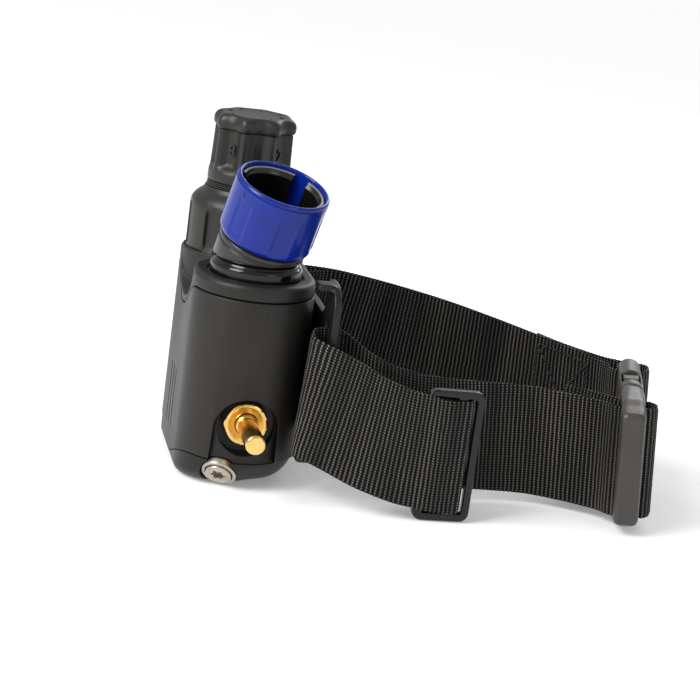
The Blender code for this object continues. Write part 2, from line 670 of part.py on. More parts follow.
def make_plate(mat, steel):
    """Belt plate behind the housing: web with two slots, and flanges at its four corners."""
    outline = rounded_outline((-PLATE_HALF, PLATE_LOW), (PLATE_HALF, PLATE_HIGH), 7.0)
    plate = prism("belt_plate", outline, (PLATE_FRONT, PLATE_BACK), mat)
    flange_front = 22.4
    flange = 3.4
    for side in (-1, 1):
        x = sorted((side * SLOT_INNER, side * BAR_INNER))
        slot = rounded_outline((x[0], SLOT_Z - SLOT_HALF), (x[1], SLOT_Z + SLOT_HALF), 1.6, steps=3)
        combine(plate, prism("plate_slot_%s_cut" % ("near" if side > 0 else "far"), slot,
                             (PLATE_FRONT - 4, PLATE_BACK + 4)))
        ends = sorted((side * 41.5, side * (PLATE_HALF - 6.5)))
        for level, low in (("low", PLATE_LOW), ("high", PLATE_HIGH - flange)):
            arm = box("plate_arm_%s_%s_add" % (level, "near" if side > 0 else "far"),
                      (ends[0], flange_front, low), (ends[1], PLATE_FRONT + 1.2, low + flange), None, edge=1.0)
            combine(plate, arm, "UNION")
    reliefs = (("high", PLATE_WAIST[1], PLATE_HIGH + 20), ("low", PLATE_LOW - 20, PLATE_WAIST[0]))
    for word, low, high in reliefs:
        relief = prism("plate_%s_relief_cut" % word, rounded_outline((-38, low), (38, high), 8.0),
                       (PLATE_FRONT - 4, PLATE_BACK + 4))
        combine(plate, relief)
    pad = box("plate_pad_add", (-18, SHELL_R + GAP, 34), (18, PLATE_FRONT + 1, 74), None, edge=0.8)
    combine(plate, pad, "UNION")
    turn = Matrix.Rotation(-pi / 2, 3, "X")
    for i, z in enumerate((40.0, 66.0)):
        frame = empty("plate_screw_%d_axis" % (i + 1), (0, PLATE_BACK + GAP, z), turn)
        turned("plate_screw_%d" % (i + 1), [(0, 0), (4.0, 0), (3.8, 1.2), (2.8, 1.9), (1.5, 1.9), (1.4, 0.8),
                                            (0, 0.8)], steel, frame, steps=24, ring=False)


def make_slider(mat):
    """Three-bar slider on the adjuster run."""
    outline = rounded_outline((SLIDER_Y[0], 0), (SLIDER_Y[1], SLIDER_HEIGHT), 3.4, steps=4)
    faces = (SLIDER_X - SLIDER_THICK / 2, SLIDER_X + SLIDER_THICK / 2)
    slider = prism("strap_slider", outline, faces, mat, plane="YZ")
    rim = 3.4
    windows = ((SLIDER_Y[0] + rim, SLIDER_BAR_Y[0]), (SLIDER_BAR_Y[1], SLIDER_Y[1] - rim))
    for i, (a, b) in enumerate(windows):
        tool = prism("slider_window_%d_cut" % (i + 1),
                     rounded_outline((a, rim), (b, SLIDER_HEIGHT - rim), 1.0, steps=3),
                     (faces[0] - 3, faces[1] + 3), plane="YZ")
        combine(slider, tool)


def make_buckle(male_mat, female_mat):
    """Side-release buckle. Its frame has X along the buckle and Z across the webbing."""
    frame = empty("buckle_axis", BUCKLE_AT, buckle_turn())
    top = BUCKLE_HALF_H
    half = BUCKLE_HALF_T
    male = box("buckle_male", (0, -half, -top), (9.0, half, top), male_mat, frame, edge=2.6, segments=3)
    rails = box("male_rails_add", (4.0, -half + 0.8, -top + 0.6), (MALE_END, half - 0.8, top - 0.6), None,
                frame, edge=1.6)
    inside = box("male_inside_cut", (6.0, -half - 2, -RAIL_INNER), (28.4, half + 2, RAIL_INNER), None, frame)
    second = box("male_second_bar_add", (16.2, -2.4, -RAIL_INNER - 1), (20.8, 2.4, RAIL_INNER + 1), None,
                 frame, edge=0.8)
    near = box("male_near_bar_add", (0.6, -half + 0.4, -top + 3), (8.9, half - 0.4, top - 3), None, frame,
               edge=2.0)
    guide = box("male_guide_add", (MALE_END - 3, -2.6, -4.0), (62.0, 2.6, 4.0), None, frame, edge=0.8)
    combine(male, rails, "UNION")
    combine(male, inside)
    combine(male, near, "UNION")
    combine(male, second, "UNION")
    combine(male, guide, "UNION")

    female = box("buckle_female", (FEMALE_START, -half, -top), (FEMALE_END, half, top), female_mat, frame,
                 edge=3.2, segments=4)
    cavity = box("female_cavity_cut", (FEMALE_START - 4, -4.2, -24.8), (FEMALE_CAVITY_END, 4.2, 24.8), None,
                 frame)
    window = box("female_window_cut", (45.0, -4.2, -top - 4), (61.0, 4.2, top + 4), None, frame)
    slot = box("female_slot_cut", (71.0, -half - 4, -RAIL_INNER), (78.4, half + 4, RAIL_INNER), None, frame)
    combine(female, cavity)
    combine(female, window)
    combine(female, slot)

    for side, word in ((1, "upper"), (-1, "lower")):
        hinge = empty("prong_%s_axis" % word, (MALE_END + GAP, 0, side * 13.0), parent=frame)
        arm = [(0, -2.0), (10, -1.6), (24.6, 3.4), (25.2, 8.6), (22.6, 11.2), (11.0, 11.2), (9.2, 8.4),
               (9.0, 3.6), (0, 2.6)]
        outline = [(x, side * z) for x, z in arm]
        prong = prism("buckle_prong_%s" % word, outline, (-3.4, 3.4), male_mat, hinge)
        prong.modifiers.new("edges", "BEVEL").width = 0.4 * MM


# ---------------------------------------------------------------- assembly

def settle_on_origin():
    """Moves the whole object so that its box stands centred on the world origin."""
    bpy.context.view_layer.update()
    graph = bpy.context.evaluated_depsgraph_get()
    low = Vector((1e9, 1e9, 1e9))
    high = -low
    for obj in bpy.data.objects:
        if obj.type == "EMPTY" or obj.hide_render:
            continue
        shape = obj.evaluated_get(graph)
        mesh = shape.to_mesh()
        for vertex in mesh.vertices:
            point = shape.matrix_world @ vertex.co
            low = Vector(map(min, low, point))
            high = Vector(map(max, high, point))
        shape.to_mesh_clear()
    frame = bpy.data.objects.new("regulator", None)
    bpy.context.collection.objects.link(frame)
    frame.location = (-(low.x + high.x) / 2, -(low.y + high.y) / 2, -low.z)
    for obj in bpy.data.objects:
        if obj is not frame and obj.parent is None:
            obj.parent = frame


def build():
    for old in list(bpy.data.objects):
        bpy.data.objects.remove(old, do_unlink=True)
    charcoal = material("charcoal_plastic", (0.05, 0.05, 0.052), 0.55)
    dark = material("dark_plastic", (0.03, 0.03, 0.032), 0.45)
    gloss = material("gloss_black_plastic", (0.012, 0.012, 0.013), 0.12)
    rubber = material("soft_black_plastic", (0.04, 0.04, 0.042), 0.6)
    blue = material("blue_plastic", (0.01, 0.02, 0.4), 0.2)
    brass = material("brass", (0.78, 0.55, 0.2), 0.22, 1.0)
    steel = material("stainless_steel", (0.55, 0.53, 0.5), 0.35, 1.0)
    seal = material("seal_rubber", (0.02, 0.02, 0.02), 0.8)
    web = material("black_webbing", (0.02, 0.02, 0.02), 0.85)
    grey = material("buckle_plastic", (0.09, 0.09, 0.09), 0.5)
    paper = material("filter_paper", (0.75, 0.73, 0.65), 0.9)

    make_shell(charcoal)
    make_cover(charcoal)
    make_core(dark)
    make_plug(steel, steel)
    make_inlet(brass, seal)
    make_flow_column(rubber, rubber, dark, steel)
    make_outlet(gloss, dark, blue, seal, paper, dark)
    make_plate(dark, steel)
    adjuster, buckle_run = near_routes()
    strap("strap_adjuster", adjuster, web)
    strap("strap_near", buckle_run, web)
    far, fold = far_routes()
    strap("strap_far", far, web)
    strap("strap_far_fold", fold, web)
    make_slider(gloss)
    make_buckle(grey, grey)
    settle_on_origin()


build()
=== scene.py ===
from bisect import bisect_right
from math import asin, atan2, ceil, cos, pi, radians, sin, tau
import bmesh
import bpy
from mathutils import Matrix, Vector


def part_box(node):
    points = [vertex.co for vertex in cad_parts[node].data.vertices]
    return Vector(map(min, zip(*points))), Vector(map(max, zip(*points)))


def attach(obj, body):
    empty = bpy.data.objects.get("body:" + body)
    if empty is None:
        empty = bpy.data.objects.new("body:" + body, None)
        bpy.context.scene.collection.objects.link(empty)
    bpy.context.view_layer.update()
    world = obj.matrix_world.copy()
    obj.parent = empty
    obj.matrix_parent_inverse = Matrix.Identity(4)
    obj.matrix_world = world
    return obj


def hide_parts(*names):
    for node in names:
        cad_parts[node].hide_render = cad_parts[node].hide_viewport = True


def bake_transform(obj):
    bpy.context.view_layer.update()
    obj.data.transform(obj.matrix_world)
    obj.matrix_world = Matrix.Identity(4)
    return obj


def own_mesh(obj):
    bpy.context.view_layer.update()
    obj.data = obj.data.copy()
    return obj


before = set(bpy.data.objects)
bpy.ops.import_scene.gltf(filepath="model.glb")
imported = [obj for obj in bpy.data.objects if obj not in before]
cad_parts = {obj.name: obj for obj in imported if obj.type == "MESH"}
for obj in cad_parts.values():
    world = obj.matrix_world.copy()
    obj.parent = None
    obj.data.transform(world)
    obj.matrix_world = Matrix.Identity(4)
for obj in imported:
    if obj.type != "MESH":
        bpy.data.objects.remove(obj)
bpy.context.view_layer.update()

# ---- dimensions, millimetres about the housing
MM = 0.001
COLUMN_X = 23.3              # half the distance between the two columns
SHELL_R = 26.4
SHELL_WALL = 1.6
GAP = 0.3                    # clearance between pieces that touch
CORE_R = SHELL_R - SHELL_WALL - GAP
COVER_TOP = 90.5
COVER_LOW = 83.6
DIP = (14.0, 30.0)           # depth and half width of the cover's dip between the columns
CORE_TOP = 82.0
SHELL_LOW = (3.0, 9.5, 40.0) # lower edge of the shell: mid height, rise, half width
BASE_EDGE = 4.0
BASE_DOME = (15.0, 9.0)      # what the dome adds at the ends: inwards, upwards
BASE_REAR = (10.0, 14.0)     # and what it adds at the rear
INLET_Z = 29.2
POCKET_X = COLUMN_X + CORE_R - 8     # floor of the inlet's pocket
ARCH_R = 14.0
ARCH_Z = 27.0
SCOOP_CENTRE = (0.0, -30.6, 97.0)
SCOOP_SIZE = (24.0, 19.0, 24.5)
SWIVEL_LOW = 88.0
ELBOW_Z = 98.2
OUTLET_TILT = (0.2755, 0.1823, 1.0)
PLUG_AZIMUTH = -23.5         # degrees round the outlet column
PLUG_DROP = 29.0             # degrees round the dome's curve
COLLAR_START = 8.3
COLLAR_END = 35.1
SLEEVE_END = 33.4
KNOB_LOW = 120.8
KNOB_TOP = 144.6
CAP_TOP = 151.4
LOBES = 8
WEB_WIDTH = 50.0
WEB_THICK = 1.6
RIB = 1.9                    # pitch of the webbing's ribs
PLATE = (29.0, 32.3)         # front and back of the belt plate
SLOT_X = 47.0
SLIDER_X = 69.0
SLIDER_HALF = 1.8
SLIDER_Y = (71.0, 96.0)
SLIDER_BAR = (84.5, 88.5)
SLIDER_HEIGHT = 58.0
BUCKLE_AT = (76.0, 162.6, 29.6)
BUCKLE_ALONG = (-0.957, 0.290)
BUCKLE_LEAN = 5.0
BUCKLE_TOP = 29.2
BUCKLE_HALF = 5.6

swivel_low, swivel_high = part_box("outlet_base")
ORIGIN = Vector(((swivel_low[0] + swivel_high[0]) / 2 - COLUMN_X * MM,
                 (swivel_low[1] + swivel_high[1]) / 2, swivel_low[2] - SWIVEL_LOW * MM))
HOUSING = Matrix.Translation(ORIGIN) @ Matrix.Scale(MM, 4)
KNOB_AXIS = HOUSING @ Matrix.Translation((-COLUMN_X, 0, 0))
OUTLET_AXIS = HOUSING @ Matrix.Translation((COLUMN_X, 0, 0))
TILT = (OUTLET_AXIS @ Matrix.Translation((0, 0, ELBOW_Z))
        @ Vector((0, 0, 1)).rotation_difference(Vector(OUTLET_TILT)).to_matrix().to_4x4())
BUCKLE_TURN = (Matrix.Rotation(atan2(BUCKLE_ALONG[1], BUCKLE_ALONG[0]), 4, "Z")
               @ Matrix.Rotation(radians(-BUCKLE_LEAN), 4, "X"))
BUCKLE = HOUSING @ Matrix.Translation(BUCKLE_AT) @ BUCKLE_TURN


# ---- materials

class Nodes:
    """Short calls for building a material's node tree."""

    def __init__(self, name):
        self.mat = bpy.data.materials.new(name)
        self.mat.use_nodes = True
        self.tree = self.mat.node_tree
        self.shader = self.tree.nodes["Principled BSDF"]

    def feed(self, socket, value):
        """Links another node's output to the socket, or sets its value."""
        if isinstance(value, bpy.types.NodeSocket):
            self.tree.links.new(value, socket)
        else:
            socket.default_value = value

    def node(self, kind, sockets=(), **values):
        made = self.tree.nodes.new(kind)
        for key, value in values.items():
            setattr(made, key, value)
        for key, value in dict(sockets).items():
            self.feed(made.inputs[key], value)
        return made

    def math(self, operation, *values, clamp=False):
        made = self.node("ShaderNodeMath", enumerate(values), operation=operation, use_clamp=clamp)
        return made.outputs[0]

    def swell(self, angle):
        """Sine of an angle, brought to 0..1."""
        return self.math("MULTIPLY_ADD", self.math("SINE", angle), 0.5, 0.5)

    def coords(self, kind="Object", scale=None):
        place = self.node("ShaderNodeTexCoord").outputs[kind]
        if scale:
            place = self.node("ShaderNodeMapping", {"Vector": place, "Scale": scale}).outputs[0]
        return place

    def noise(self, vector, scale, detail=2.0, rough=0.5):
        sockets = {"Vector": vector, "Scale": scale, "Detail": detail, "Roughness": rough}
        return self.node("ShaderNodeTexNoise", sockets).outputs["Fac"]

    def ramp(self, factor, stops):
        made = self.node("ShaderNodeValToRGB", {"Fac": factor})
        elements = made.color_ramp.elements
        while len(elements) < len(stops):
            elements.new(0.5)
        for element, (place, colour) in zip(elements, stops):
            element.position = place
            element.color = (*colour, 1.0)
        return made.outputs["Color"]

    def span(self, factor, low, high):
        sockets = {"Value": factor, "To Min": low, "To Max": high}
        return self.node("ShaderNodeMapRange", sockets).outputs["Result"]

    def bump(self, height, distance, normal=None):
        sockets = {"Height": height, "Distance": distance, "Strength": 1.0}
        if normal:
            sockets["Normal"] = normal
        return self.node("ShaderNodeBump", sockets).outputs["Normal"]

    def set(self, **values):
        for key, value in values.items():
            colour = isinstance(value, tuple)
            self.feed(self.shader.inputs[key.replace("_", " ")], (*value, 1.0) if colour else value)


def tone(colour, factor):
    return tuple(c * factor for c in colour)


def clamp(value):
    return max(0.0, min(1.0, value))


def ease(share):
    return share * share * (3 - 2 * share)


def moulded(name, colour, rough, grain=0.00005, grain_scale=2600.0, sheen=0.0, coat=0.0, scuffs=0.5,
            shine=0.38):
    """Moulded plastic: spark-eroded grain, slow cloudy variation of tone and gloss, and faint scuffs."""
    m = Nodes(name)
    cloud = m.noise(m.coords(), 55.0, 4.0, 0.55)
    fine = m.noise(m.coords(), grain_scale, 2.0, 0.6)
    streaks = m.noise(m.coords(scale=(60.0, 900.0, 700.0)), 1.0, 5.0, 0.7)
    scuff = m.ramp(streaks, ((0.62, (0, 0, 0)), (0.78, (1, 1, 1))))
    base = m.ramp(cloud, ((0.3, tone(colour, 0.86)), (0.7, tone(colour, 1.16))))
    mixed = m.node("ShaderNodeMix", {0: m.math("MULTIPLY", scuff, 0.35 * scuffs), 6: base,
                                     7: (*tone(colour, 2.1), 1.0)}, data_type="RGBA")
    gloss = m.math("ADD", m.span(cloud, rough - 0.05, rough + 0.06), m.math("MULTIPLY", scuff, 0.08 * scuffs))
    gloss = m.math("ADD", gloss, m.span(fine, -0.04, 0.04), clamp=True)
    relief = m.bump(fine, grain)
    relief = m.bump(cloud, 0.00012, normal=relief)
    m.set(Base_Color=mixed.outputs[2], Roughness=gloss, Normal=relief, Coat_Weight=coat, Coat_Roughness=0.12,
          Sheen_Weight=sheen, Specular_IOR_Level=shine)
    return m.mat


def turned_metal(name, colour, rough, ring_scale, axis):
    """Machined metal: fine turning rings along the axis, uneven gloss and a slight tarnish."""
    m = Nodes(name)
    rings = m.noise(m.coords(scale=[ring_scale if i == axis else 30.0 for i in range(3)]), 1.0, 3.0, 0.6)
    cloud = m.noise(m.coords(), 160.0, 5.0, 0.6)
    base = m.ramp(cloud, ((0.3, tone(colour, 0.78)), (0.62, colour)))
    gloss = m.math("ADD", m.span(rings, rough - 0.07, rough + 0.07), m.span(cloud, 0.05, -0.04))
    m.set(Base_Color=base, Roughness=gloss, Metallic=1.0, Normal=m.bump(rings, 0.00003))
    return m.mat


def webbing(name):
    """Heavy ribbed webbing. Its colour is painted light on the rib crests and beads as painted highlight, and
    near black in the grooves as painted shade. U runs along the strap and V across it, both in millimetres.
    """
    m = Nodes(name)
    along, across, _ = m.node("ShaderNodeSeparateXYZ", {0: m.coords("UV")}).outputs
    wander = m.span(m.noise(m.coords(), 220.0, 2.0), -0.16, 0.16)
    ribs = m.math("ADD", m.math("MULTIPLY", along, 1 / RIB), wander)
    crest = m.swell(m.math("MULTIPLY", ribs, tau))
    step = m.math("MULTIPLY", m.math("FLOOR", m.math("ADD", ribs, 0.25)), pi)
    beads = m.math("ADD", m.math("MULTIPLY", across, tau / 1.15), step)
    knot = m.swell(m.math("ADD", beads, m.math("MULTIPLY", ribs, 2.4)))
    fibre = m.noise(m.coords("UV", (9.0, 1.6, 1.0)), 2.2, 3.0, 0.65)
    body = m.math("POWER", crest, 1.25)
    height = m.math("MULTIPLY", body, m.span(knot, 0.42, 1.0))
    # painted light: rib crests and beads coloured light as painted highlight, grooves near black as painted
    # shade
    light = m.math("MULTIPLY", height, m.span(fibre, 0.7, 1.3), clamp=True)
    # lighter and darker bands at random along the strap: painted light and painted shade
    patchy_painted_light = m.span(m.noise(m.coords("UV", (0.075, 0.008, 1.0)), 1.0, 3.0, 0.6), 0.35, 1.6)
    light = m.math("MULTIPLY", light, patchy_painted_light, clamp=True)
    # colour ramp from the painted groove shade up to the painted crest highlight
    base = m.ramp(light, ((0.16, (0.0007, 0.0006, 0.0005)), (0.46, (0.0120, 0.0106, 0.0092)),
                          (0.92, (0.190, 0.176, 0.158))))
    relief = m.bump(height, 0.00055)
    relief = m.bump(fibre, 0.00006, normal=relief)
    m.set(Base_Color=base, Roughness=m.span(fibre, 0.52, 0.74), Normal=relief, Sheen_Weight=0.05,
          Sheen_Roughness=0.4, Specular_IOR_Level=0.14)
    return m.mat


def mesh_screen(name):
    """Fine woven screen across the outlet's floor."""
    m = Nodes(name)
    cells = m.node("ShaderNodeTexVoronoi", {"Vector": m.coords(), "Scale": 900.0, "Randomness": 0.15},
                   feature="F1")
    base = m.ramp(cells.outputs["Distance"], ((0.2, (0.004, 0.004, 0.004)), (0.55, (0.11, 0.1, 0.09))))
    m.set(Base_Color=base, Roughness=0.5, Metallic=0.3, Normal=m.bump(cells.outputs["Distance"], 0.0002))
    return m.mat


CHARCOAL = moulded("charcoal_moulded", (0.0125, 0.0114, 0.0102), 0.45, grain=0.00008, grain_scale=2300.0,
                   shine=0.32)
BASE_PLASTIC = moulded("base_moulded", (0.0075, 0.0069, 0.0063), 0.40, scuffs=0.8, shine=0.32)
SOFT_BLACK = moulded("soft_black_moulded", (0.0150, 0.0138, 0.0122), 0.38, grain=0.00007,
                     grain_scale=2000.0, shine=0.36)
GLOSS_BLACK = moulded("gloss_black_moulded", (0.0038, 0.0036, 0.0033), 0.13, grain=0.000008, coat=0.25,
                      scuffs=0.6, shine=0.25)
ELBOW_GREY = moulded("elbow_moulded", (0.0150, 0.0140, 0.0130), 0.30, grain=0.00002, coat=0.15)
SLEEVE_DARK = moulded("sleeve_dark", (0.0045, 0.0035, 0.0028), 0.26, grain=0.00002, coat=0.2)
# pale grey for the sleeve's end ring: painted highlight of light reflected off the glossy end
SLEEVE_RIM_HIGHLIGHT = moulded("sleeve_rim_painted_highlight", (0.21, 0.205, 0.19), 0.42, grain=0.00002)
BLUE = moulded("blue_moulded", (0.0008, 0.0150, 0.205), 0.22, grain=0.000012, grain_scale=1500.0, coat=0.18,
               scuffs=0.12, shine=0.25)
# near-black blue for the collar's alignment slit: painted shade inside the slit
BLUE_SLIT_SHADE = moulded("blue_slit_shade", (0.0006, 0.0015, 0.03), 0.35, grain=0.00001)
BUCKLE_GREY = moulded("buckle_moulded", (0.033, 0.030, 0.027), 0.38, grain=0.00007, grain_scale=2400.0,
                      shine=0.5)
BRASS = turned_metal("turned_brass", (0.86, 0.56, 0.19), 0.20, 2600.0, 0)
STEEL = turned_metal("turned_steel", (0.52, 0.48, 0.41), 0.34, 1800.0, 2)
RUBBER = moulded("seal_rubber", (0.010, 0.010, 0.010), 0.68, grain=0.00003, sheen=0.1)
PAPER = moulded("filter_paper", (0.62, 0.58, 0.48), 0.85, grain=0.00008, grain_scale=1400.0)
SCREEN = mesh_screen("outlet_screen")
WEBBING = webbing("ribbed_webbing")
THREAD = moulded("sewing_thread", (0.0022, 0.0022, 0.0022), 0.6, grain_scale=5000.0, sheen=0.15)


# ---- mesh helpers

def skin(bm, loops, closed_profile=False):
    """Skins point loops; a single point closes to a pole, and open ends are capped."""
    rings = [[bm.verts.new(p) for p in loop] for loop in loops]
    pairs = list(zip(rings, rings[1:]))
    if closed_profile:
        pairs.append((rings[-1], rings[0]))
    for low, high in pairs:
        count = max(len(low), len(high))
        for i in range(count):
            j = (i + 1) % count
            if len(low) == 1:
                bm.faces.new((low[0], high[j], high[i]))
            elif len(high) == 1:
                bm.faces.new((low[i], low[j], high[0]))
            else:
                bm.faces.new((low[i], low[j], high[j], high[i]))
    if not closed_profile:
        for ring in (rings[0], rings[-1]):
            if len(ring) > 1:
                bm.faces.new(ring)


def add_object(name, data):
    obj = bpy.data.objects.new(name, data)
    bpy.context.scene.collection.objects.link(obj)
    return obj


def as_object(name, bm, matrix=HOUSING):
    bmesh.ops.recalc_face_normals(bm, faces=bm.faces)
    bmesh.ops.transform(bm, matrix=matrix, verts=bm.verts)
    mesh = bpy.data.meshes.new(name)
    bm.to_mesh(mesh)
    bm.free()
    return add_object(name, mesh)


def skinned(name, loops, matrix=HOUSING, closed_profile=False):
    bm = bmesh.new()
    skin(bm, loops, closed_profile)
    return as_object(name, bm, matrix)


def final_mesh(obj):
    bpy.context.view_layer.update()
    return bpy.data.meshes.new_from_object(obj.evaluated_get(bpy.context.evaluated_depsgraph_get()))


def settle(obj, sharp=40.0):
    """Applies the modifiers, removes the tools they used and sets smooth shading with crisp edges."""
    tools = [m.object for m in obj.modifiers if m.type == "BOOLEAN"]
    mesh = final_mesh(obj)
    obj.modifiers.clear()
    obj.data = mesh
    for tool in tools:
        bpy.data.objects.remove(tool, do_unlink=True)
    mesh.polygons.foreach_set("use_smooth", [True] * len(mesh.polygons))
    mesh.set_sharp_from_angle(angle=radians(sharp))
    return obj


def join_in(obj, tool, operation="DIFFERENCE"):
    step = obj.modifiers.new(tool.name, "BOOLEAN")
    step.object = tool
    step.operation = operation
    step.solver = "EXACT"
    return obj


def soften(obj, voxel, rounds):
    """Turns hard joins into moulded fillets: fine remesh, then relaxing."""
    remesh = obj.modifiers.new("remesh", "REMESH")
    remesh.mode = "VOXEL"
    remesh.voxel_size = voxel * MM
    smooth = obj.modifiers.new("relax", "SMOOTH")
    smooth.factor = 0.5
    smooth.iterations = rounds
    return obj


def edge_round(obj, width, segments=3):
    bevel = obj.modifiers.new("edges", "BEVEL")
    bevel.width = width * MM
    bevel.segments = segments
    bevel.limit_method = "ANGLE"
    bevel.angle_limit = radians(34)
    bevel.miter_outer = "MITER_ARC"
    return obj


def paint(obj, mat):
    obj.data.materials.clear()
    obj.data.materials.append(mat)


def dress(obj, mat, slot, *nodes, body="regulator"):
    """Material, body and the CAD nodes that the piece stands for. The slot argument is not used."""
    paint(obj, mat)
    if nodes:
        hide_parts(*nodes)
    if body:
        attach(obj, body)
    return obj


def fillet(profile, radius, steps=4):
    """Rounds the corners of a (radius, height) profile. A profile point may carry its own radius."""
    points = []
    last = len(profile) - 1
    for i, point in enumerate(profile):
        here = Vector(point[:2])
        size = point[2] if len(point) > 2 else radius
        if i in (0, last) or size <= 0:
            points.append(tuple(here))
            continue
        before = Vector(profile[i - 1][:2]) - here
        after = Vector(profile[i + 1][:2]) - here
        reach = min(size, before.length * 0.45, after.length * 0.45)
        start = here + before.normalized() * reach
        end = here + after.normalized() * reach
        for k in range(steps + 1):
            t = k / steps
            points.append(tuple(start.lerp(here, t).lerp(here.lerp(end, t), t)))
    return points


def lathe(name, profile, matrix, steps=128, ring=True, shape=None):
    """Turns a (radius, height) profile. `shape` may change the radius at an angle and a height."""
    loops = []
    for radius, z in profile:
        if radius < 1e-6:
            loops.append([(0.0, 0.0, z)])
            continue
        loop = []
        for i in range(steps):
            angle = tau * i / steps
            r = shape(angle, radius, z) if shape else radius
            loop.append((r * cos(angle), r * sin(angle), z))
        loops.append(loop)
    return settle(skinned(name, loops, matrix, ring), 50.0)


def brick(name, low, high, edge=0.0, segments=3, matrix=HOUSING):
    bm = bmesh.new()
    bmesh.ops.create_cube(bm, size=1.0)
    bmesh.ops.scale(bm, vec=[b - a for a, b in zip(low, high)], verts=bm.verts)
    bmesh.ops.translate(bm, vec=[(a + b) / 2 for a, b in zip(low, high)], verts=bm.verts)
    if edge:
        bmesh.ops.bevel(bm, geom=bm.edges[:], offset=edge, segments=segments, affect="EDGES",
                        profile=0.5)
    return as_object(name, bm, matrix)


def cylinder(name, radius, start, end, matrix=HOUSING, steps=96):
    start = Vector(start)
    along = Vector(end) - start
    turn = along.to_track_quat("Z", "Y").to_matrix().to_4x4()
    bm = bmesh.new()
    bmesh.ops.create_cone(bm, segments=steps, radius1=radius, radius2=radius, depth=along.length,
                          cap_ends=True)
    bmesh.ops.transform(bm, matrix=Matrix.Translation(start + along / 2) @ turn, verts=bm.verts)
    return as_object(name, bm, matrix)


def outline_prism(name, outline, depth, plane, matrix=HOUSING):
    """Extrudes an outline that lies in a plane, between two levels of the third axis."""
    order = {"XZ": (0, 2, 1), "XY": (0, 1, 2), "YZ": (1, 2, 0)}[plane]
    loops = []
    for level in depth:
        loop = []
        for a, b in outline:
            point = [0.0, 0.0, 0.0]
            point[order[0]] = a
            point[order[1]] = b
            point[order[2]] = level
            loop.append(point)
        loops.append(loop)
    return skinned(name, loops, matrix)


def round_box(low, high, radius, steps=10):
    """Outline of a rectangle with round corners."""
    points = []
    corners = ((high[0] - radius, high[1] - radius, 0), (low[0] + radius, high[1] - radius, 1),
               (low[0] + radius, low[1] + radius, 2), (high[0] - radius, low[1] + radius, 3))
    for cx, cy, quarter in corners:
        for i in range(steps + 1):
            angle = pi / 2 * (quarter + i / steps)
            points.append((cx + radius * cos(angle), cy + radius * sin(angle)))
    return points


def raised(base, profile):
    """A profile whose heights are counted from the base."""
    return [(radius, base + z) for radius, z in profile]


# ---- housing

def stations(ends=72, sides=44):
    """(centre x, angle) round the two columns, with the straight sides between them."""
    found = []
    for side in (1, -1):
        start = -pi / 2 if side > 0 else pi / 2
        for i in range(ends + 1):
            found.append((side * COLUMN_X, start + pi * i / ends))
        for i in range(1, sides):
            found.append((side * COLUMN_X * (1 - 2 * i / sides), start + pi))
    return found


def quarter(steps):
    """Sine and cosine at even steps over a quarter turn."""
    return [(sin(pi / 2 * k / steps), cos(pi / 2 * k / steps)) for k in range(steps + 1)]


def wave(x, half, depth):
    """Cosine swell, `depth` at x = 0 and nothing from `half` outwards."""
    return depth * 0.5 * (1 + cos(pi * min(abs(x) / half, 1.0)))


def housing_loop(radius, height):
    loop = []
    for centre, angle in stations():
        x = centre + radius * cos(angle)
        y = radius * sin(angle)
        loop.append((x, y, height(x, y) if callable(height) else height))
    return loop


def shell_low(x, _y):
    return SHELL_LOW[0] + SHELL_LOW[1] - wave(x, SHELL_LOW[2], SHELL_LOW[1])


def cover_low(x, y):
    return COVER_LOW - (wave(x, DIP[1], DIP[0]) if y < 0 else 0.0)


def base_rounding(angle):
    dome = cos(angle) ** 2
    rear = max(0.0, sin(angle))
    return [BASE_EDGE + dome * d + rear * r for d, r in zip(BASE_DOME, BASE_REAR)]


def make_shell():
    def top(x, y):
        return cover_low(x, y) - GAP

    foot, lip = 0.9, 0.7
    loops = [housing_loop(SHELL_R - SHELL_WALL, shell_low), housing_loop(SHELL_R - foot, shell_low)]
    for s, c in quarter(4)[1:]:
        loops.append(housing_loop(SHELL_R - foot + foot * s,
                                  lambda x, y, c=c: shell_low(x, y) + foot * (1 - c)))
    for s, c in quarter(4):
        loops.append(housing_loop(SHELL_R - lip + lip * c, lambda x, y, s=s: top(x, y) - lip + lip * s))
    loops.append(housing_loop(SHELL_R - SHELL_WALL, top))
    shell = skinned("casing_shell", loops, closed_profile=True)
    reach = SHELL_R + COLUMN_X
    arch = []
    for i in range(49):
        angle = pi * i / 48
        arch.append((ARCH_R * cos(angle), ARCH_Z + ARCH_R * sin(angle)))
    arch += [(-ARCH_R - 0.8, 8.0), (-ARCH_R - 0.8, -6.0), (ARCH_R + 0.4, -6.0), (ARCH_R + 0.4, 8.0)]
    join_in(shell, outline_prism("arch_tool", arch, (reach - 16, reach + 4), "YZ"))
    for i, x in enumerate((-9.0, -2.0, 5.0)):
        join_in(shell, outline_prism("groove_tool_%d" % i, round_box((x - 0.8, 13), (x + 0.8, 40), 0.79, 6),
                                     (-SHELL_R - 2, -SHELL_R + 0.7), "XZ"))
    join_in(shell, brick("seam_tool", (reach - 0.25, 2.35, 40), (reach + 2, 2.75, 84)))
    edge_round(shell, 0.4, 2)
    return dress(settle(shell, 35.0), CHARCOAL, "charcoal_plastic", "housing_shell")


def scoop_tool(grow):
    """The thumb hollow between the columns, and with `grow` the space behind its wall."""
    bm = bmesh.new()
    bmesh.ops.create_uvsphere(bm, u_segments=96, v_segments=64, radius=1.0)
    bmesh.ops.scale(bm, vec=[s + grow for s in SCOOP_SIZE], verts=bm.verts)
    bmesh.ops.translate(bm, vec=SCOOP_CENTRE, verts=bm.verts)
    hollow = as_object("scoop_tool", bm)
    for side in (-1, 1):
        column = cylinder("scoop_column", SHELL_R - 0.15 - grow, (side * COLUMN_X, 0, 60),
                          (side * COLUMN_X, 0, 130), steps=144)
        join_in(hollow, column)
    return settle(hollow)


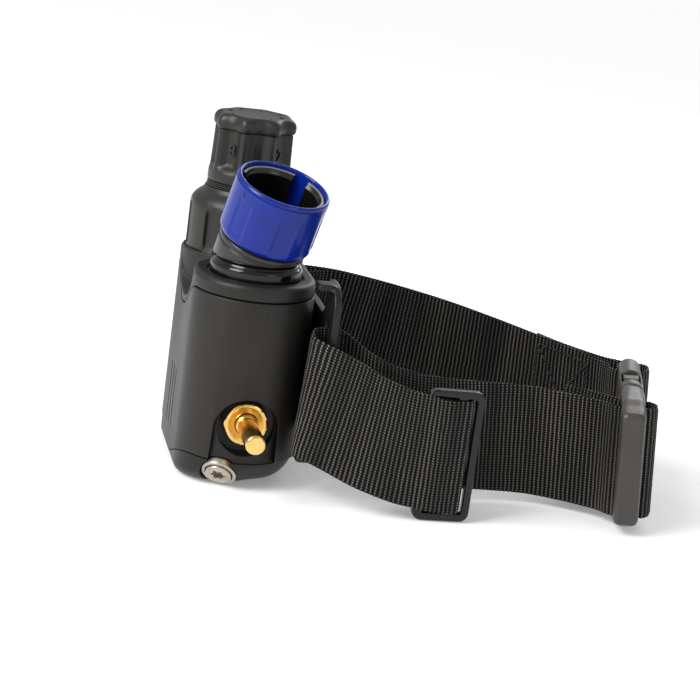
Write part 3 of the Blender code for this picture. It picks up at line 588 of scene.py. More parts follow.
def make_cover():
    plug_r = SHELL_R - SHELL_WALL - 1.8
    loops = [housing_loop(plug_r, 58), housing_loop(plug_r, cover_low),
             housing_loop(SHELL_R - 0.5, cover_low),
             housing_loop(SHELL_R, lambda x, y: cover_low(x, y) + 0.6)]
    edge = 2.4
    for s, c in quarter(5):
        loops.append(housing_loop(SHELL_R - edge + edge * c, COVER_TOP - edge + edge * s))
    cover = skinned("top_cover_moulding", loops)
    inner_r = SHELL_R - SHELL_WALL
    inside = skinned("cover_inside", [housing_loop(inner_r, 55), housing_loop(inner_r, CORE_TOP + GAP)])
    join_in(inside, scoop_tool(2.0))
    join_in(cover, settle(inside))
    join_in(cover, scoop_tool(0.0))
    above = COVER_TOP + 6
    for radius, side, low in ((20.6, 1, 87.7), (14.5, 1, 76.0), (24.9, -1, 87.7), (12.5, -1, 76.0)):
        x = side * COLUMN_X
        join_in(cover, cylinder("seat_tool", radius, (x, 0, low), (x, 0, above), steps=144))
    soften(cover, 0.5, 9)
    return dress(settle(cover, 80.0), CHARCOAL, "charcoal_plastic", "top_cover")


def plug_frame():
    """Where the socket plug sits on the dome: centre, outward direction and frame."""
    azimuth = radians(PLUG_AZIMUTH)
    swing = radians(PLUG_DROP)
    radial, tall = base_rounding(azimuth)
    radius = CORE_R - radial * (1 - cos(swing))
    centre = Vector((COLUMN_X + radius * cos(azimuth), radius * sin(azimuth), tall * (1 - sin(swing))))
    level = cos(swing) * tall
    fall = sin(swing) * radial
    outward = Vector((level * cos(azimuth), level * sin(azimuth), -fall)).normalized()
    return centre, outward, (HOUSING @ Matrix.Translation(centre)
                             @ outward.to_track_quat("Z", "Y").to_matrix().to_4x4())


def base_block(name, outer, seam, top):
    """Domed block: `outer` wide up to the `seam` height, then stepping in to stand inside the shell."""
    loops = []
    for k in range(13):
        loop = []
        for centre, angle in stations():
            radial, tall = base_rounding(angle)
            x = centre + outer * cos(angle)
            last = asin(max(-1.0, min(1.0, 1 - seam(x) / tall))) if seam(x) < tall else 0.0
            swing = pi / 2 + (last - pi / 2) * k / 12
            radius = outer - radial * (1 - cos(swing))
            loop.append((centre + radius * cos(angle), radius * sin(angle), tall * (1 - sin(swing))))
        loops.append(loop)
    above, step = [], []
    for (x, y, z), (centre, angle) in zip(loops[-1], stations()):
        reach = Vector((x - centre, y)).length
        lift = max(z, seam(centre + outer * cos(angle)))
        above.append((x, y, lift + 0.02))
        inner = min(reach - 0.1, CORE_R)
        step.append((centre + inner * cos(angle), inner * sin(angle), lift + 0.1))
    loops += [above, step, housing_loop(CORE_R, 22.0), housing_loop(CORE_R, top)]
    return skinned(name, loops)


def make_base():
    flush = SHELL_R - GAP
    base = base_block("base_moulding", flush, lambda x: shell_low(x, 0) - 0.35, CORE_TOP)
    tongue = base_block("tongue_tool", flush, lambda x: 45.0, 50.0)
    inner = ARCH_R - GAP
    arch = [(inner * cos(pi * i / 40), ARCH_Z + inner * sin(pi * i / 40)) for i in range(41)]
    arch += [(-inner, 4.0), (inner, 4.0)]
    reach = SHELL_R + COLUMN_X
    join_in(tongue, outline_prism("tongue_outline_tool", arch, (reach - 14, reach + 4), "YZ"), "INTERSECT")
    join_in(base, settle(tongue), "UNION")
    join_in(base, scoop_tool(2.3))
    join_in(base, cylinder("valve_tool", 12.5, (-COLUMN_X, 0, 40), (-COLUMN_X, 0, 90)))
    join_in(base, cylinder("filter_tool", 14.5, (COLUMN_X, 0, 40), (COLUMN_X, 0, 90)))
    pocket_z = INLET_Z - 1.2
    join_in(base, cylinder("pocket_tool", 12.6, (POCKET_X, 0, pocket_z), (POCKET_X + 15, 0, pocket_z)))
    centre, outward, _ = plug_frame()
    join_in(base, cylinder("plug_tool", 8.2, centre - outward * 3.4, centre + outward * 8))
    edge_round(base, 0.5, 3)
    return dress(settle(base, 35.0), BASE_PLASTIC, "base_plastic", "inner_body")


def make_plug():
    _, _, place = plug_frame()
    ring = fillet([(6.1, -3.0), (7.8, -3.0), (7.8, 0.2), (6.1, 0.2), (6.1, -3.0)], 0.5)[:-1]
    washer = lathe("plug_washer", ring, place, 96)
    dress(washer, STEEL, "stainless_steel", "drain_plug_washer")

    def six_lobes(angle, radius, z):
        return radius + 0.45 * cos(6 * angle) * (1 if radius < 3.4 else 0)
    profile = fillet([(0, -3.0), (5.8, -3.0, 0.1), (5.8, 1.1, 0.5), (4.6, 1.1, 0.1), (4.3, 0.8, 0.1),
                      (3.9, 0.8, 0.1), (3.6, 1.1, 0.1), (2.9, 1.1, 0.25), (2.5, -1.6, 0.1), (0, -1.6)], 0.2)
    dress(lathe("plug_screw", profile, place, 144, False, six_lobes), STEEL,
          "stainless_steel", "drain_plug")


def make_inlet():
    place = HOUSING @ Matrix.Translation((POCKET_X, 0, INLET_Z)) @ Matrix.Rotation(pi / 2, 4, "Y")
    washer = lathe("inlet_face_washer", [(5.0, 0.3), (9.6, 0.3), (9.6, 1.3), (5.0, 1.3)], place)
    dress(washer, RUBBER, "seal_rubber", "inlet_washer")
    corner = 10.3

    def hexagon(angle, radius, z):
        inward = (angle + pi / 6) % (pi / 3) - pi / 6
        across = corner * cos(pi / 6) / cos(inward)
        soft = min(across, corner - 0.25)
        chamfer = corner - 0.55 * max(0.0, z - 4.6) ** 1.6
        return min(radius, soft, chamfer) if radius > 8 else radius
    nut = [(5.0, 1.6)] + [(corner, z) for z in (1.6, 3.0, 4.4, 4.9, 5.4, 5.9)]
    nut += [(9.0, 6.3), (8.2, 6.5), (7.6, 6.5), (7.3, 6.25), (5.6, 6.25), (5.0, 5.9)]
    dress(lathe("inlet_hex", nut, place, 180, True, hexagon), BRASS, "brass", "inlet_nut")
    stem = fillet([(0, 0.3), (4.7, 0.3), (4.7, 7.2), (4.5, 8.0), (3.75, 8.4), (3.75, 10.2), (4.3, 10.8),
                   (4.3, 33.6), (3.6, 34.4), (0, 34.4)], 0.5, 4)
    dress(lathe("inlet_plug", stem, place, 96, False), BRASS, "brass", "inlet_stem")


# ---- flow control column

def make_flow_column():
    def fluted(angle, radius, z):
        between = abs((angle + pi / 8) % (pi / 4) - pi / 8)
        if radius < 20 or not 91 < z < 110.5:
            return radius
        flank = clamp((radians(7.2) - between) / radians(1.3))
        return radius - 1.6 * flank * clamp((110.2 - z) / 2.0)
    gland = [(6.2, 88.0)] + [(24.6, 88.0 + 2.1 * i) for i in range(11)]
    gland += [(24.5, 110.2), (24.3, 111.3), (23.8, 112.4), (22.9, 113.6), (21.6, 114.8),
              (20.2, 115.8), (19.4, 116.7), (19.1, 117.6), (18.8, 118.0), (6.2, 118.0)]
    dress(lathe("flow_gland_moulding", gland, KNOB_AXIS, 288, True, fluted), SOFT_BLACK,
          "soft_black_plastic", "flow_gland")
    neck = [(6.2, 118.3), (18.3, 118.3), (18.4, 118.5), (18.4, 118.8), (17.7, 119.0), (17.7, 119.2),
            (18.3, 119.4), (18.3, 119.7), (17.7, 119.9), (17.7, 120.1), (18.2, 120.25), (18.2, 120.5),
            (6.2, 120.5)]
    dress(lathe("neck_rings", neck, KNOB_AXIS, 192), SOFT_BLACK, "base_plastic", "detent_ring")

    def lobed(angle, depth, sharp):
        return depth * (1 - abs(sin(LOBES * angle / 2)) ** sharp)

    def grip(angle, radius, z):
        if radius < 12:
            return radius
        return radius - ease(clamp((z - KNOB_LOW - 4.5) / 4.0)) * lobed(angle, 3.5, 4.0)
    knob = [(4.3, KNOB_LOW), (17.9, KNOB_LOW), (18.3, KNOB_LOW + 0.3), (18.4, KNOB_LOW + 0.9)]
    knob += [(18.4 - 0.03 * i, KNOB_LOW + 0.9 + 1.1 * i) for i in range(1, 21)]
    knob += [(17.7, KNOB_TOP - 0.4), (17.2, KNOB_TOP - GAP), (4.3, KNOB_TOP - GAP)]
    dress(lathe("knob_grip", knob, KNOB_AXIS, 256, True, grip), SOFT_BLACK,
          "soft_black_plastic", "flow_knob", body="knob")

    def cap_shape(angle, radius, z):
        return radius - clamp((radius - 10.0) / 8.0) ** 2 * lobed(angle, 2.5, 2.6)
    cap = raised(KNOB_TOP, [(0, 0), (15.0, 0), (17.9, 0), (18.4, 0.4), (18.7, 1.2), (18.8, 2.4), (18.7, 3.6),
                            (18.3, 4.7), (17.6, 5.6), (16.6, 6.3), (15.4, 6.65), (14.2, 6.7), (13.0, 6.5),
                            (11.5, 6.3), (6.0, 6.15), (0, 6.15)])
    dress(lathe("knob_cap_moulding", cap, KNOB_AXIS, 256, False, cap_shape), SOFT_BLACK,
          "soft_black_plastic", "knob_cap", body="knob")
    make_knob_marks()


def make_knob_marks():
    """Raised dial figures in the grip's flutes, and small marks round the cap."""
    for i in range(LOBES):
        angle = tau * i / LOBES
        name = "dial_figure_%d" % i
        words = bpy.data.curves.new(name, "FONT")
        words.body = str(i + 1)
        words.size = 7.4
        words.extrude = 0.34
        words.bevel_depth = 0.06
        words.align_x = "CENTER"
        words.align_y = "CENTER"
        figure = add_object(name, words)
        out = Matrix.Rotation(angle, 4, "Z") @ Matrix.Translation((14.75, 0, 135.2))
        upright = Matrix.Rotation(pi / 2, 4, "Z") @ Matrix.Rotation(pi / 2, 4, "X")
        mesh = final_mesh(figure)
        bpy.data.objects.remove(figure, do_unlink=True)
        mesh.transform(KNOB_AXIS @ out @ upright)
        dress(add_object("dial_figure_mesh_%d" % i, mesh), SOFT_BLACK, "soft_black_plastic", body="knob")
        turn = KNOB_AXIS @ Matrix.Rotation(angle + tau / 16, 4, "Z")
        long = 2.6 if i % 2 else 1.7
        mark = brick("cap_mark_%d" % i, (13.4 - long, -0.28, CAP_TOP - 0.55), (13.4, 0.28, CAP_TOP - 0.12),
                     0.12, 2, turn)
        dress(mark, GLOSS_BLACK, "soft_black_plastic", body="knob")


# ---- outlet column

def make_outlet():
    base = fillet([(14.5, SWIVEL_LOW, 0), (19.8, SWIVEL_LOW, 0.3), (19.8, 94.3, 0.9), (18.6, 95.6, 0.6),
                   (18.3, 96.2, 0.3), (17.2, 96.9, 0.5), (17.2, 97.9, 0.2), (14.5, 97.9, 0)], 0.5, 5)
    dress(lathe("swivel_base", base, OUTLET_AXIS, 192), GLOSS_BLACK, "gloss_black_plastic",
          "outlet_base", body="outlet")
    seal = [(19.9, 89.0), (20.5, 89.0), (20.5, 89.8), (19.9, 89.8)]
    dress(lathe("swivel_seal", seal, OUTLET_AXIS, 128), RUBBER, "seal_rubber", "outlet_seal")
    tube = fillet([(14.0, -9.0, 0), (18.9, -9.0, 0), (18.9, 4.6, 0.3), (18.4, 4.9, 0.2), (18.4, 5.6, 0.2),
                   (18.9, 5.9, 0.3), (18.9, 7.4, 0.6), (18.1, 8.0, 0.4), (14.0, 8.0, 0)], 0.4, 4)
    elbow = lathe("elbow_tube", tube, TILT, 192)
    join_in(elbow, brick("elbow_tool", (COLUMN_X - 35, -35, ELBOW_Z - 30), (COLUMN_X + 35, 35, ELBOW_Z)))
    edge_round(elbow, 1.1, 4)
    dress(settle(elbow, 40.0), ELBOW_GREY, "base_plastic", "outlet_elbow", body="outlet")

    wall = fillet([(15.8, 8.3, 0), (18.2, 8.3, 0), (18.2, SLEEVE_END, 0.3), (17.0, SLEEVE_END, 0.2),
                   (16.5, SLEEVE_END - 1.3, 0.3), (15.8, SLEEVE_END - 2.2, 0.3), (15.8, 8.4, 0)], 0.3)[:-1]
    sleeve = lathe("bayonet_tube", wall, TILT, 192)
    slot = round_box((-3.5, 16.0), (3.5, SLEEVE_END + 6), 1.2, 6)
    for i in range(3):
        turn = TILT @ Matrix.Rotation(radians(25 + 120 * i), 4, "Z")
        join_in(sleeve, outline_prism("slot_tool_%d" % i, slot, (11.8, 21.2), "YZ", turn))
    edge_round(sleeve, 0.3, 2)
    dress(settle(sleeve, 40.0), SLEEVE_DARK, "base_plastic", "bayonet_sleeve", body="outlet")
    # gives the sleeve's end ring the painted highlight
    paint_rim_highlight(sleeve)

    def panels(angle, radius, z):
        """Six shallow finger panels, fading out towards the rim."""
        if radius < 20.2:
            return radius
        off = abs((angle - radians(8) + pi / 6) % (pi / 3) - pi / 6)
        low = clamp((z - COLLAR_START - 1.5) / 2.0)
        high = clamp((COLLAR_END - 5.5 - z) / 4.0)
        return radius - 0.55 * ease(clamp((radians(12.0) - off) / radians(2.6))) * low * high
    ring = raised(COLLAR_START, [(18.6, 0.3), (18.9, 0.3), (19.4, 0.6), (19.9, 1.2), (20.3, 2.0)])
    ring += [(20.5, COLLAR_START + 2.8 + 1.35 * i) for i in range(17)]
    ring += raised(COLLAR_END, [(20.5, -2.2), (20.15, -2.0), (20.15, -1.75), (20.5, -1.5), (20.45, -1.2),
                                (20.3, -0.7), (20.0, -0.25), (19.6, 0), (19.1, 0), (18.75, -0.25),
                                (18.6, -0.7)])
    collar = lathe("collar_ring", ring, TILT, 288, True, panels)
    dress(collar, BLUE, "blue_plastic", "locking_collar", body="collar")
    # dark tab over the collar's alignment slit; its colour is the slit's painted shade
    turn = TILT @ Matrix.Rotation(radians(-58), 4, "Z")
    mark = brick("collar_slit_shade", (20.0, -0.5, COLLAR_END - 6.2), (20.58, 0.5, COLLAR_END - 2.5), 0.2, 2, turn)
    dress(mark, BLUE_SLIT_SHADE, "blue_plastic", body="collar")
    disc = [(0, 76.5), (14.2, 76.5), (14.2, 77.0), (0, 77.0)]
    dress(lathe("outlet_floor_screen", disc, OUTLET_AXIS, 96, False), SCREEN, "base_plastic")


def paint_rim_highlight(sleeve):
    """The sleeve's end ring is painted pale grey: a painted highlight for light from above reflected off its
    glossy end.
    """
    sleeve.data.materials.append(SLEEVE_RIM_HIGHLIGHT)
    top = TILT @ Vector((0, 0, SLEEVE_END - 0.45))
    along = (TILT.to_3x3() @ Vector((0, 0, 1))).normalized()
    for face in sleeve.data.polygons:
        if (face.center - top).dot(along) > 0:
            face.material_index = 1


# ---- belt plate, slider and buckle

def make_plate():
    outline = round_box((-57, 15), (57, 94), 12.0)
    plate = outline_prism("belt_plate_moulding", outline, PLATE, "XZ")
    for side in (-1, 1):
        ends = sorted((side * 44.0, side * 50.0))
        slot = round_box((ends[0], 22.5), (ends[1], 77.5), 1.6, 4)
        join_in(plate, outline_prism("plate_slot_tool", slot, (24, 37), "XZ"))
        ends = sorted((side * 41.5, side * 50.5))
        for low in (15.0, 90.6):
            arm = brick("plate_arm_tool", (ends[0], 22.4, low), (ends[1], 30.2, low + 3.4), 1.0, 3)
            join_in(plate, arm, "UNION")
    for low, high in ((78.0, 114.0), (-5.0, 24.0)):
        relief = round_box((-38, low), (38, high), 8.0)
        join_in(plate, outline_prism("plate_relief_tool", relief, (24, 37), "XZ"))
    join_in(plate, brick("plate_pad_tool", (-18, 26.7, 34), (18, 30, 74), 0.8), "UNION")
    soften(plate, 0.6, 7)
    dress(settle(plate, 80.0), BASE_PLASTIC, "base_plastic", "belt_plate")

    def cross(angle, radius, z):
        return radius + 0.35 * cos(6 * angle) if radius < 2.4 else radius
    for i, z in enumerate((40.0, 66.0)):
        place = HOUSING @ Matrix.Translation((0, PLATE[1] + GAP, z)) @ Matrix.Rotation(-pi / 2, 4, "X")
        head = fillet([(0, 0), (4.0, 0, 0.1), (3.9, 1.2, 0.5), (2.9, 1.9, 0.3), (2.1, 1.9, 0.15),
                       (1.8, 0.6, 0.1), (0, 0.6)], 0.3)
        dress(lathe("plate_screw_head_%d" % (i + 1), head, place, 96, False, cross), STEEL,
              "stainless_steel", "plate_screw_%d" % (i + 1))


def make_slider():
    rail = 3.4
    faces = (SLIDER_X - SLIDER_HALF, SLIDER_X + SLIDER_HALF)
    outline = round_box((SLIDER_Y[0], 0), (SLIDER_Y[1], SLIDER_HEIGHT), 4.0)
    slider = outline_prism("slider_frame", outline, faces, "YZ")
    for a, b in ((SLIDER_Y[0] + rail, SLIDER_BAR[0]), (SLIDER_BAR[1], SLIDER_Y[1] - rail)):
        slot = round_box((a, rail), (b, SLIDER_HEIGHT - rail), 1.2, 5)
        join_in(slider, outline_prism("slider_tool", slot, (faces[0] - 3, faces[1] + 3), "YZ"))
    soften(slider, 0.4, 7)
    dress(settle(slider, 80.0), GLOSS_BLACK, "gloss_black_plastic", "strap_slider")


def stadium(u, narrow, low, corner):
    """Cross-section of the buckle at one place along it, `narrow` and `low` within its full size."""
    half, top = BUCKLE_HALF - narrow, BUCKLE_TOP - low
    return [(u, w, z) for w, z in round_box((-half, -top), (half, top), min(corner, half), 8)]


def buckle_loft(name, sections):
    return skinned(name, [stadium(*section) for section in sections], BUCKLE)


def finish_buckle(piece, body, node):
    soften(piece, 0.45, 8)
    dress(settle(piece, 80.0), BUCKLE_GREY, "buckle_plastic", node, body=body)


def make_buckle():
    male = buckle_loft("male_frame", [(0.2, 1.6, 5.2, 2.4), (1.4, 0.5, 4.0, 2.6), (5.0, 0, 3.2, 2.8),
                                      (9.0, 0, 2.4, 2.8), (14.0, 0, 0.9, 3.2), (24.0, 0, 0.2, 4.2),
                                      (33.0, 0, 0, 4.6), (36.0, 0.9, 0.8, 4.6)])
    join_in(male, brick("male_window_tool", (9.0, -9, -25.4), (28.4, 9, 25.4), 1.6, 3, BUCKLE))
    join_in(male, brick("male_bar_tool", (16.0, -2.5, -26.6), (20.8, 2.5, 26.6), 1.4, 3, BUCKLE), "UNION")
    join_in(male, brick("male_guide_tool", (33.0, -2.6, -4.0), (62.0, 2.6, 4.0), 0.9, 3, BUCKLE), "UNION")
    finish_buckle(male, "regulator", "buckle_male")

    female = buckle_loft("female_frame", [(37.5, 0.9, 0.8, 4.7), (39.0, 0, 0, 5.6), (60.0, 0, 0, 5.6),
                                          (70.0, 0, 0, 5.6), (82.0, 0.2, 0, 5.4), (86.0, 1.2, 1.0, 4.4),
                                          (87.0, 2.4, 2.2, 3.2)])
    join_in(female, brick("female_cavity_tool", (30.0, -4.2, -24.8), (68.0, 4.2, 24.8), 0.5, 2, BUCKLE))
    join_in(female, brick("female_side_tool", (45.0, -4.2, -40), (61.0, 4.2, 40), 1.5, 3, BUCKLE))
    join_in(female, brick("female_slot_tool", (71.0, -12, -25.4), (78.4, 12, 25.4), 1.6, 3, BUCKLE))
    finish_buckle(female, "belt_end", "buckle_female")

    arm = [(0, -2.0), (10, -1.6), (24.6, 3.4), (25.2, 8.6), (24.2, 12.2), (21.6, 14.6), (14.0, 15.2),
           (10.4, 13.4), (9.2, 8.4), (9.0, 3.6), (0, 2.6)]
    for side, word in ((1, "upper"), (-1, "lower")):
        outline = [(36.3 + x, side * (13.0 + z)) for x, z in arm]
        prong = outline_prism("prong_" + word, outline, (-3.4, 3.4), "XZ", BUCKLE)
        soften(prong, 0.35, 6)
        dress(settle(prong, 80.0), BUCKLE_GREY, "buckle_plastic", "buckle_prong_" + word,
              body="prong_" + word)


# ---- webbing

def curve_through(points, per_span):
    """Catmull-Rom curve through points of any dimension."""
    out = []
    last = len(points) - 1
    for i in range(last):
        p0, p1, p2, p3 = points[max(i - 1, 0)], points[i], points[i + 1], points[min(i + 2, last)]
        for k in range(per_span):
            t = k / per_span
            out.append([0.5 * (2 * b + (c - a) * t + (2 * a - 5 * b + 4 * c - d) * t * t
                               + (3 * b - a - 3 * c + d) * t ** 3)
                        for a, b, c, d in zip(p0, p1, p2, p3)])
    out.append(list(points[-1]))
    return out


class Strap:
    """Webbing standing on edge along (x, y, middle height, lean x, lean y) points."""

    def __init__(self, points):
        fine = curve_through(points, 24)
        lengths = [0.0]
        for a, b in zip(fine, fine[1:]):
            lengths.append(lengths[-1] + (Vector(b[:3]) - Vector(a[:3])).length)
        self.fine = fine
        self.lengths = lengths
        self.length = lengths[-1]

    def sample(self, distance):
        distance = max(0.0, min(distance, self.length))
        high = bisect_right(self.lengths, distance, 1, len(self.lengths) - 1)
        low = high - 1
        share = (distance - self.lengths[low]) / max(1e-9, self.lengths[high] - self.lengths[low])
        return [a + (b - a) * share for a, b in zip(self.fine[low], self.fine[high])]

    def place(self, distance, across, out):
        """Point at a distance along, a height across and a distance out, from the middle layer."""
        x, y, z, lean_x, lean_y = self.sample(distance)
        before = self.sample(distance - 0.4)
        after = self.sample(distance + 0.4)
        along = Vector((after[0] - before[0], after[1] - before[1], 0)).normalized()
        up = Vector((lean_x, lean_y, 1)).normalized()
        side = along.cross(up).normalized()
        return Vector((x, y, z)) + up * across + side * out


def weave_strap(name, route):
    """Ribbed strap with soft selvedges; U and V hold millimetres along and across."""
    strap = Strap(route)
    rows = int(ceil(strap.length / RIB)) * 6
    columns = 26
    half = WEB_WIDTH / 2
    bm = bmesh.new()
    layer = bm.loops.layers.uv.new("UVMap")
    grid = []
    for i in range(rows + 1):
        distance = strap.length * i / rows
        rib = 0.5 + 0.5 * sin(tau * distance / RIB)
        ring = []
        for face in (1, -1):
            for k in range(columns + 1):
                share = k / columns if face > 0 else 1 - k / columns
                across = (share * 2 - 1)
                edge = 1 - abs(across)
                thick = WEB_THICK / 2 * min(1.0, 0.45 + edge * 9)
                relief = 0.2 * (rib - 0.5) * min(1.0, edge * 14)
                reach = half - 0.22 * (1 - rib)
                point = strap.place(distance, across * reach, face * (thick + relief - 0.08))
                ring.append((point, distance, across * half))
        grid.append([(bm.verts.new(p), u, v) for p, u, v in ring])
    patches = []
    for a, b in zip(grid, grid[1:]):
        for i in range(len(a)):
            j = (i + 1) % len(a)
            patches.append((a[i], b[i], b[j], a[j]))
    for corners in patches + [grid[0], grid[-1]]:
        face = bm.faces.new([corner[0] for corner in corners])
        for loop, corner in zip(face.loops, corners):
            loop[layer].uv = corner[1:]
    return settle(as_object(name, bm), 60.0), strap


def near_routes():
    """Routes of the adjuster's run round the slider's bar, and of the run to the buckle."""
    slot_y = sum(PLATE) / 2
    layer = SLIDER_HALF + GAP + WEB_THICK / 2
    front, back = SLIDER_X + layer, SLIDER_X - layer
    fold_y = SLIDER_BAR[1]
    web_z = SLIDER_HEIGHT / 2
    adjuster = [(SLOT_X, slot_y - 0.2, 50, 0, 0), (SLOT_X + 0.2, 26.6, 50, 0, 0), (50.6, 22.4, 49.4, 0, 0.02),
                (56.5, 20.8, 48, 0, 0.08), (61.5, 24.6, 46, 0, 0.18), (64.2, 34, 42.6, 0, 0.2),
                (67.6, 48, 36.4, 0, 0.13), (71.0, 62, 32.2, 0, 0.06), (front, 71, 30.6, 0, 0.02),
                (front, 80, web_z, 0, 0), (front, fold_y, web_z, 0, 0),
                (SLIDER_X + layer * 0.62, fold_y + 1.7, web_z, 0, 0), (SLIDER_X, fold_y + 2.3, web_z, 0, 0),
                (SLIDER_X - layer * 0.62, fold_y + 1.7, web_z, 0, 0), (back, fold_y, web_z, 0, 0),
                (back, 77, web_z, 0, 0), (back - 0.8, 67, 30.2, 0, 0), (back - 2.4, 57, 32, 0, 0)]
    run = [(SLOT_X, slot_y + 0.2, 50, 0, 0), (SLOT_X + 0.2, 36.4, 49, 0, 0), (50.0, 42.5, 45.5, 0, 0),
           (51.0, 54, 39, 0, -0.02), (48, 72, 33.5, 0, -0.05), (42, 92, 30.4, 0, -0.08),
           (38.4, 110, 29.2, 0, -0.09), (39, 128, 28.9, 0, -0.09), (45.4, 144, 28.6, 0, -0.09)]
    run += on_buckle((21.0, 13.5), (15.0, 7.5), (12.4, 2.0), (12.2, -4.0), (13.6, -8.2), (18.4, -10.4),
                     (23.2, -8.2), (24.6, -4.0), (24.8, 2.0), (27.6, 7.5), (33.0, 14.0), (39.0, 21.0),
                     (44.0, 29.0))
    return adjuster, run


def on_buckle(*places):
    """Route points for places given along and out from the buckle."""
    turn = BUCKLE_TURN.to_3x3()
    up = turn @ Vector((0, 0, 1))
    return [(*(Vector(BUCKLE_AT) + turn @ Vector((u, w, 0))), up.x / up.z, up.y / up.z) for u, w in places]


def far_route():
    """Round the plate's far bar, along the belt, round the female half's bar and back to the seam."""
    slot_y = sum(PLATE) / 2
    route = [(-56.9, 46, 51.2, 0, 0.1), (-51.0, 37.4, 51, 0, 0.04), (-SLOT_X, slot_y, 51, 0, 0),
             (-SLOT_X - 1.4, 27.0, 51, 0, 0), (-53.5, 25.6, 51, 0, 0), (-59.6, 27.4, 51, 0, 0.03),
             (-61.2, 33, 51.6, 0, 0.08), (-61.4, 48, 51, 0, 0.14), (-61.2, 64, 48.8, 0, 0.17),
             (-60.2, 86, 45, 0, 0.1), (-57, 108, 41, 0, 0.04), (-50, 130, 36.6, 0, 0),
             (-39.6, 150, 32.8, 0, -0.04), (-27, 166, 30.4, 0, -0.07)]
    route += on_buckle((94.0, 14.6), (87.0, 9.6), (80.4, 8.4), (75.6, 5.0), (74.7, 0.0), (75.6, -5.0),
                       (79.6, -8.2), (85.4, -8.8), (89.8, -6.4), (92.0, 0.0), (96.0, 6.8), (101.4, 13.8))
    return route + [(-33.4, 162.2, 31.0, 0, -0.06), (-41.6, 151.4, 32.8, 0, -0.04)]


def stitch_row(strap, start, end, out, name):
    """Row of raised thread stitches between two (distance, height) places on one face of a strap."""
    run = Vector((end[0] - start[0], end[1] - start[1]))
    count = max(1, int(round(run.length / 2.6)))

    def spot(t, level):
        return strap.place(start[0] + run.x * t, start[1] + run.y * t, level)
    bm = bmesh.new()
    for i in range(count):
        ends = [spot((i + 0.12) / count, out), spot((i + 0.88) / count, out)]
        lift = spot((i + 0.5) / count, out * 1.32)
        path = [ends[0], (ends[0] + lift * 2) / 3, lift, (ends[1] + lift * 2) / 3, ends[1]]
        loops = []
        for k, point in enumerate(path):
            along = (path[min(k + 1, 4)] - path[max(k - 1, 0)]).normalized()
            one = along.orthogonal().normalized()
            two = along.cross(one)
            size = (0.25, 0.5, 0.58, 0.5, 0.25)[k]
            loops.append([point + (one * cos(tau * j / 8) + two * sin(tau * j / 8)) * size for j in range(8)])
        skin(bm, loops)
    dress(settle(as_object(name, bm), 60.0), THREAD, "black_webbing", body="belt_end")


def make_straps():
    adjuster, run = near_routes()
    for name, route in (("adjuster", adjuster), ("near", run)):
        piece, strap = weave_strap(name + "_webbing", route)
        dress(piece, WEBBING, "black_webbing", "strap_" + name)
        print(name, "webbing mm", round(strap.length))
    piece, strap = weave_strap("far_webbing", far_route())
    dress(piece, WEBBING, "black_webbing", "strap_far", "strap_far_fold", body=None)
    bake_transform(piece)
    print("far webbing mm", round(strap.length))
    seam = Vector((-38, 152))
    near = min(range(int(strap.length)), key=lambda s: (Vector(strap.sample(s)[:2]) - seam).length)
    low_near, top_near, low_far, top_far = [(s, w) for s in (near, near + 27) for w in (-21, 21)]
    rows = ((low_near, top_near), (low_far, top_far), (low_near, low_far), (top_near, top_far),
            (low_near, top_far), (top_near, low_far))
    for i, (start, end) in enumerate(rows):
        for side, word in ((1, "in"), (-1, "out")):
            stitch_row(strap, start, end, side * 0.86, "stitches_%d_%s" % (i, word))


# ---- inner pieces

def make_spring():
    """Coil over the poppet, built at one fixed length; the real spring shortens as the valve lifts."""
    low, high, radius, wire, turns = 51.0, 87.0, 9.4, 0.6, 4.5
    count = 216
    loops = []
    for i in range(count + 1):
        angle = tau * turns * i / count
        out = Vector((cos(angle), sin(angle), 0))
        centre = out * radius + Vector((0, 0, low + (high - low) * i / count))
        loops.append([centre + out * wire * cos(tau * k / 10) + Vector((0, 0, wire * sin(tau * k / 10)))
                      for k in range(10)])
    coil = settle(skinned("poppet_coil", loops, KNOB_AXIS), 60.0)
    dress(coil, STEEL, "stainless_steel", "poppet_spring")
    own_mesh(coil)


def dress_kept_nodes():
    """Hidden CAD pieces that stay as they are get their materials."""
    kept = {"valve_spindle": STEEL, "valve_poppet": STEEL, "poppet_seat": STEEL,
            "filter_cartridge": PAPER, "filter_screen": SCREEN}
    for name, mat in kept.items():
        paint(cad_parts[name], mat)


# ---- stage, light and camera

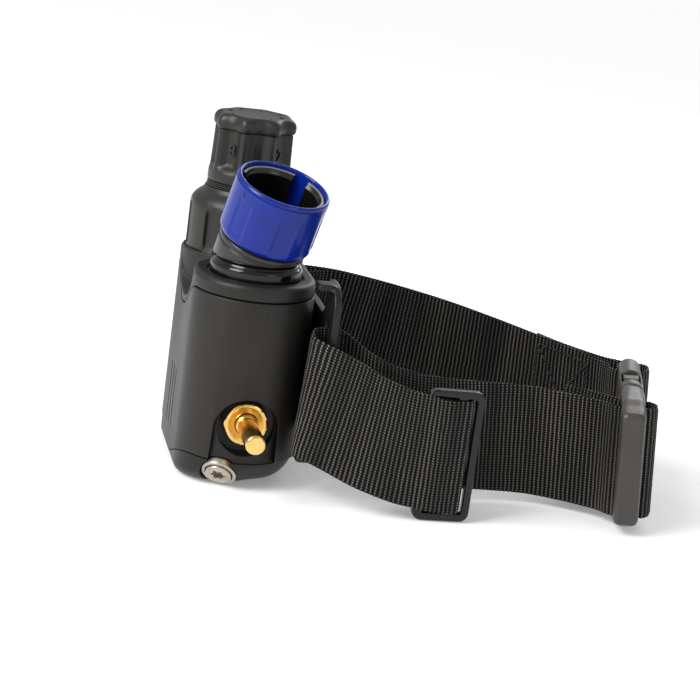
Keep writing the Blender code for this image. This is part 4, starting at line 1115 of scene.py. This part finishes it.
def make_stage():
    bm = bmesh.new()
    bmesh.ops.create_grid(bm, x_segments=2, y_segments=2, size=6.0)
    ground = as_object("studio_floor", bm, Matrix.Translation((0, 0, -0.0004)))
    m = Nodes("studio_paper")
    paper = m.noise(m.coords(), 40.0, 3.0)
    m.set(Base_Color=m.ramp(paper, ((0.3, (0.86, 0.86, 0.86)), (0.7, (0.88, 0.88, 0.88)))), Roughness=0.8,
          Emission_Color=(1.0, 1.0, 1.0), Emission_Strength=0.2)
    ground.data.materials.append(m.mat)
    world = bpy.data.worlds.new("studio")
    bpy.context.scene.world = world
    world.use_nodes = True
    sky = world.node_tree.nodes["Background"].inputs
    sky["Color"].default_value = (1.0, 1.0, 1.0, 1.0)
    sky["Strength"].default_value = 0.55
    bpy.context.scene.view_settings.view_transform = "Standard"


def make_lights():
    centre = Vector((0.0, 0.0, 0.07))
    for name, at, size, power in (("key", (0.45, -1.05, 0.70), 0.6, 9.0), ("rim", (-0.9, 0.6, 0.7), 0.6, 4.0),
                                  ("fill", (1.1, 0.55, 0.55), 0.5, 1.5)):
        lamp = bpy.data.lights.new(name, "AREA")
        lamp.shape = "RECTANGLE"
        lamp.size = size
        lamp.size_y = size
        lamp.energy = power
        obj = add_object(name, lamp)
        obj.location = at
        obj.rotation_euler = (centre - Vector(at)).to_track_quat("-Z", "Y").to_euler()
    sun = bpy.data.lights.new("window", "SUN")
    sun.energy = 1.5
    sun.angle = radians(30)
    travel = Vector((-0.35, 1.0, -1.05))
    add_object("window", sun).rotation_euler = travel.to_track_quat("-Z", "Y").to_euler()


def make_camera():
    """Looks along the housing from its inlet end, a little from above, and tipped as the photo is."""
    azimuth, elevation, roll = radians(76.91), radians(14.71), radians(7.83)
    distance = 0.9307
    back = Vector((sin(azimuth) * cos(elevation), -cos(azimuth) * cos(elevation), sin(elevation)))
    right = Vector((cos(azimuth), sin(azimuth), 0))
    up = back.cross(right)
    right, up = cos(roll) * right + sin(roll) * up, cos(roll) * up - sin(roll) * right
    target = HOUSING @ Vector((12.25, 48.27, 56.49))
    place = target + back * distance
    camera = bpy.data.cameras.new("camera")
    camera.lens = 108.35
    camera.sensor_width = 36.0
    camera.clip_start = 0.01
    obj = add_object("camera", camera)
    obj.matrix_world = Matrix.Translation(place) @ Matrix((right, up, back)).transposed().to_4x4()
    bpy.context.scene.camera = obj


make_camera()
make_stage()
make_lights()
make_shell()
make_cover()
make_base()
make_plug()
make_inlet()
make_flow_column()
make_outlet()
make_plate()
make_slider()
make_buckle()
make_straps()
make_spring()
dress_kept_nodes()
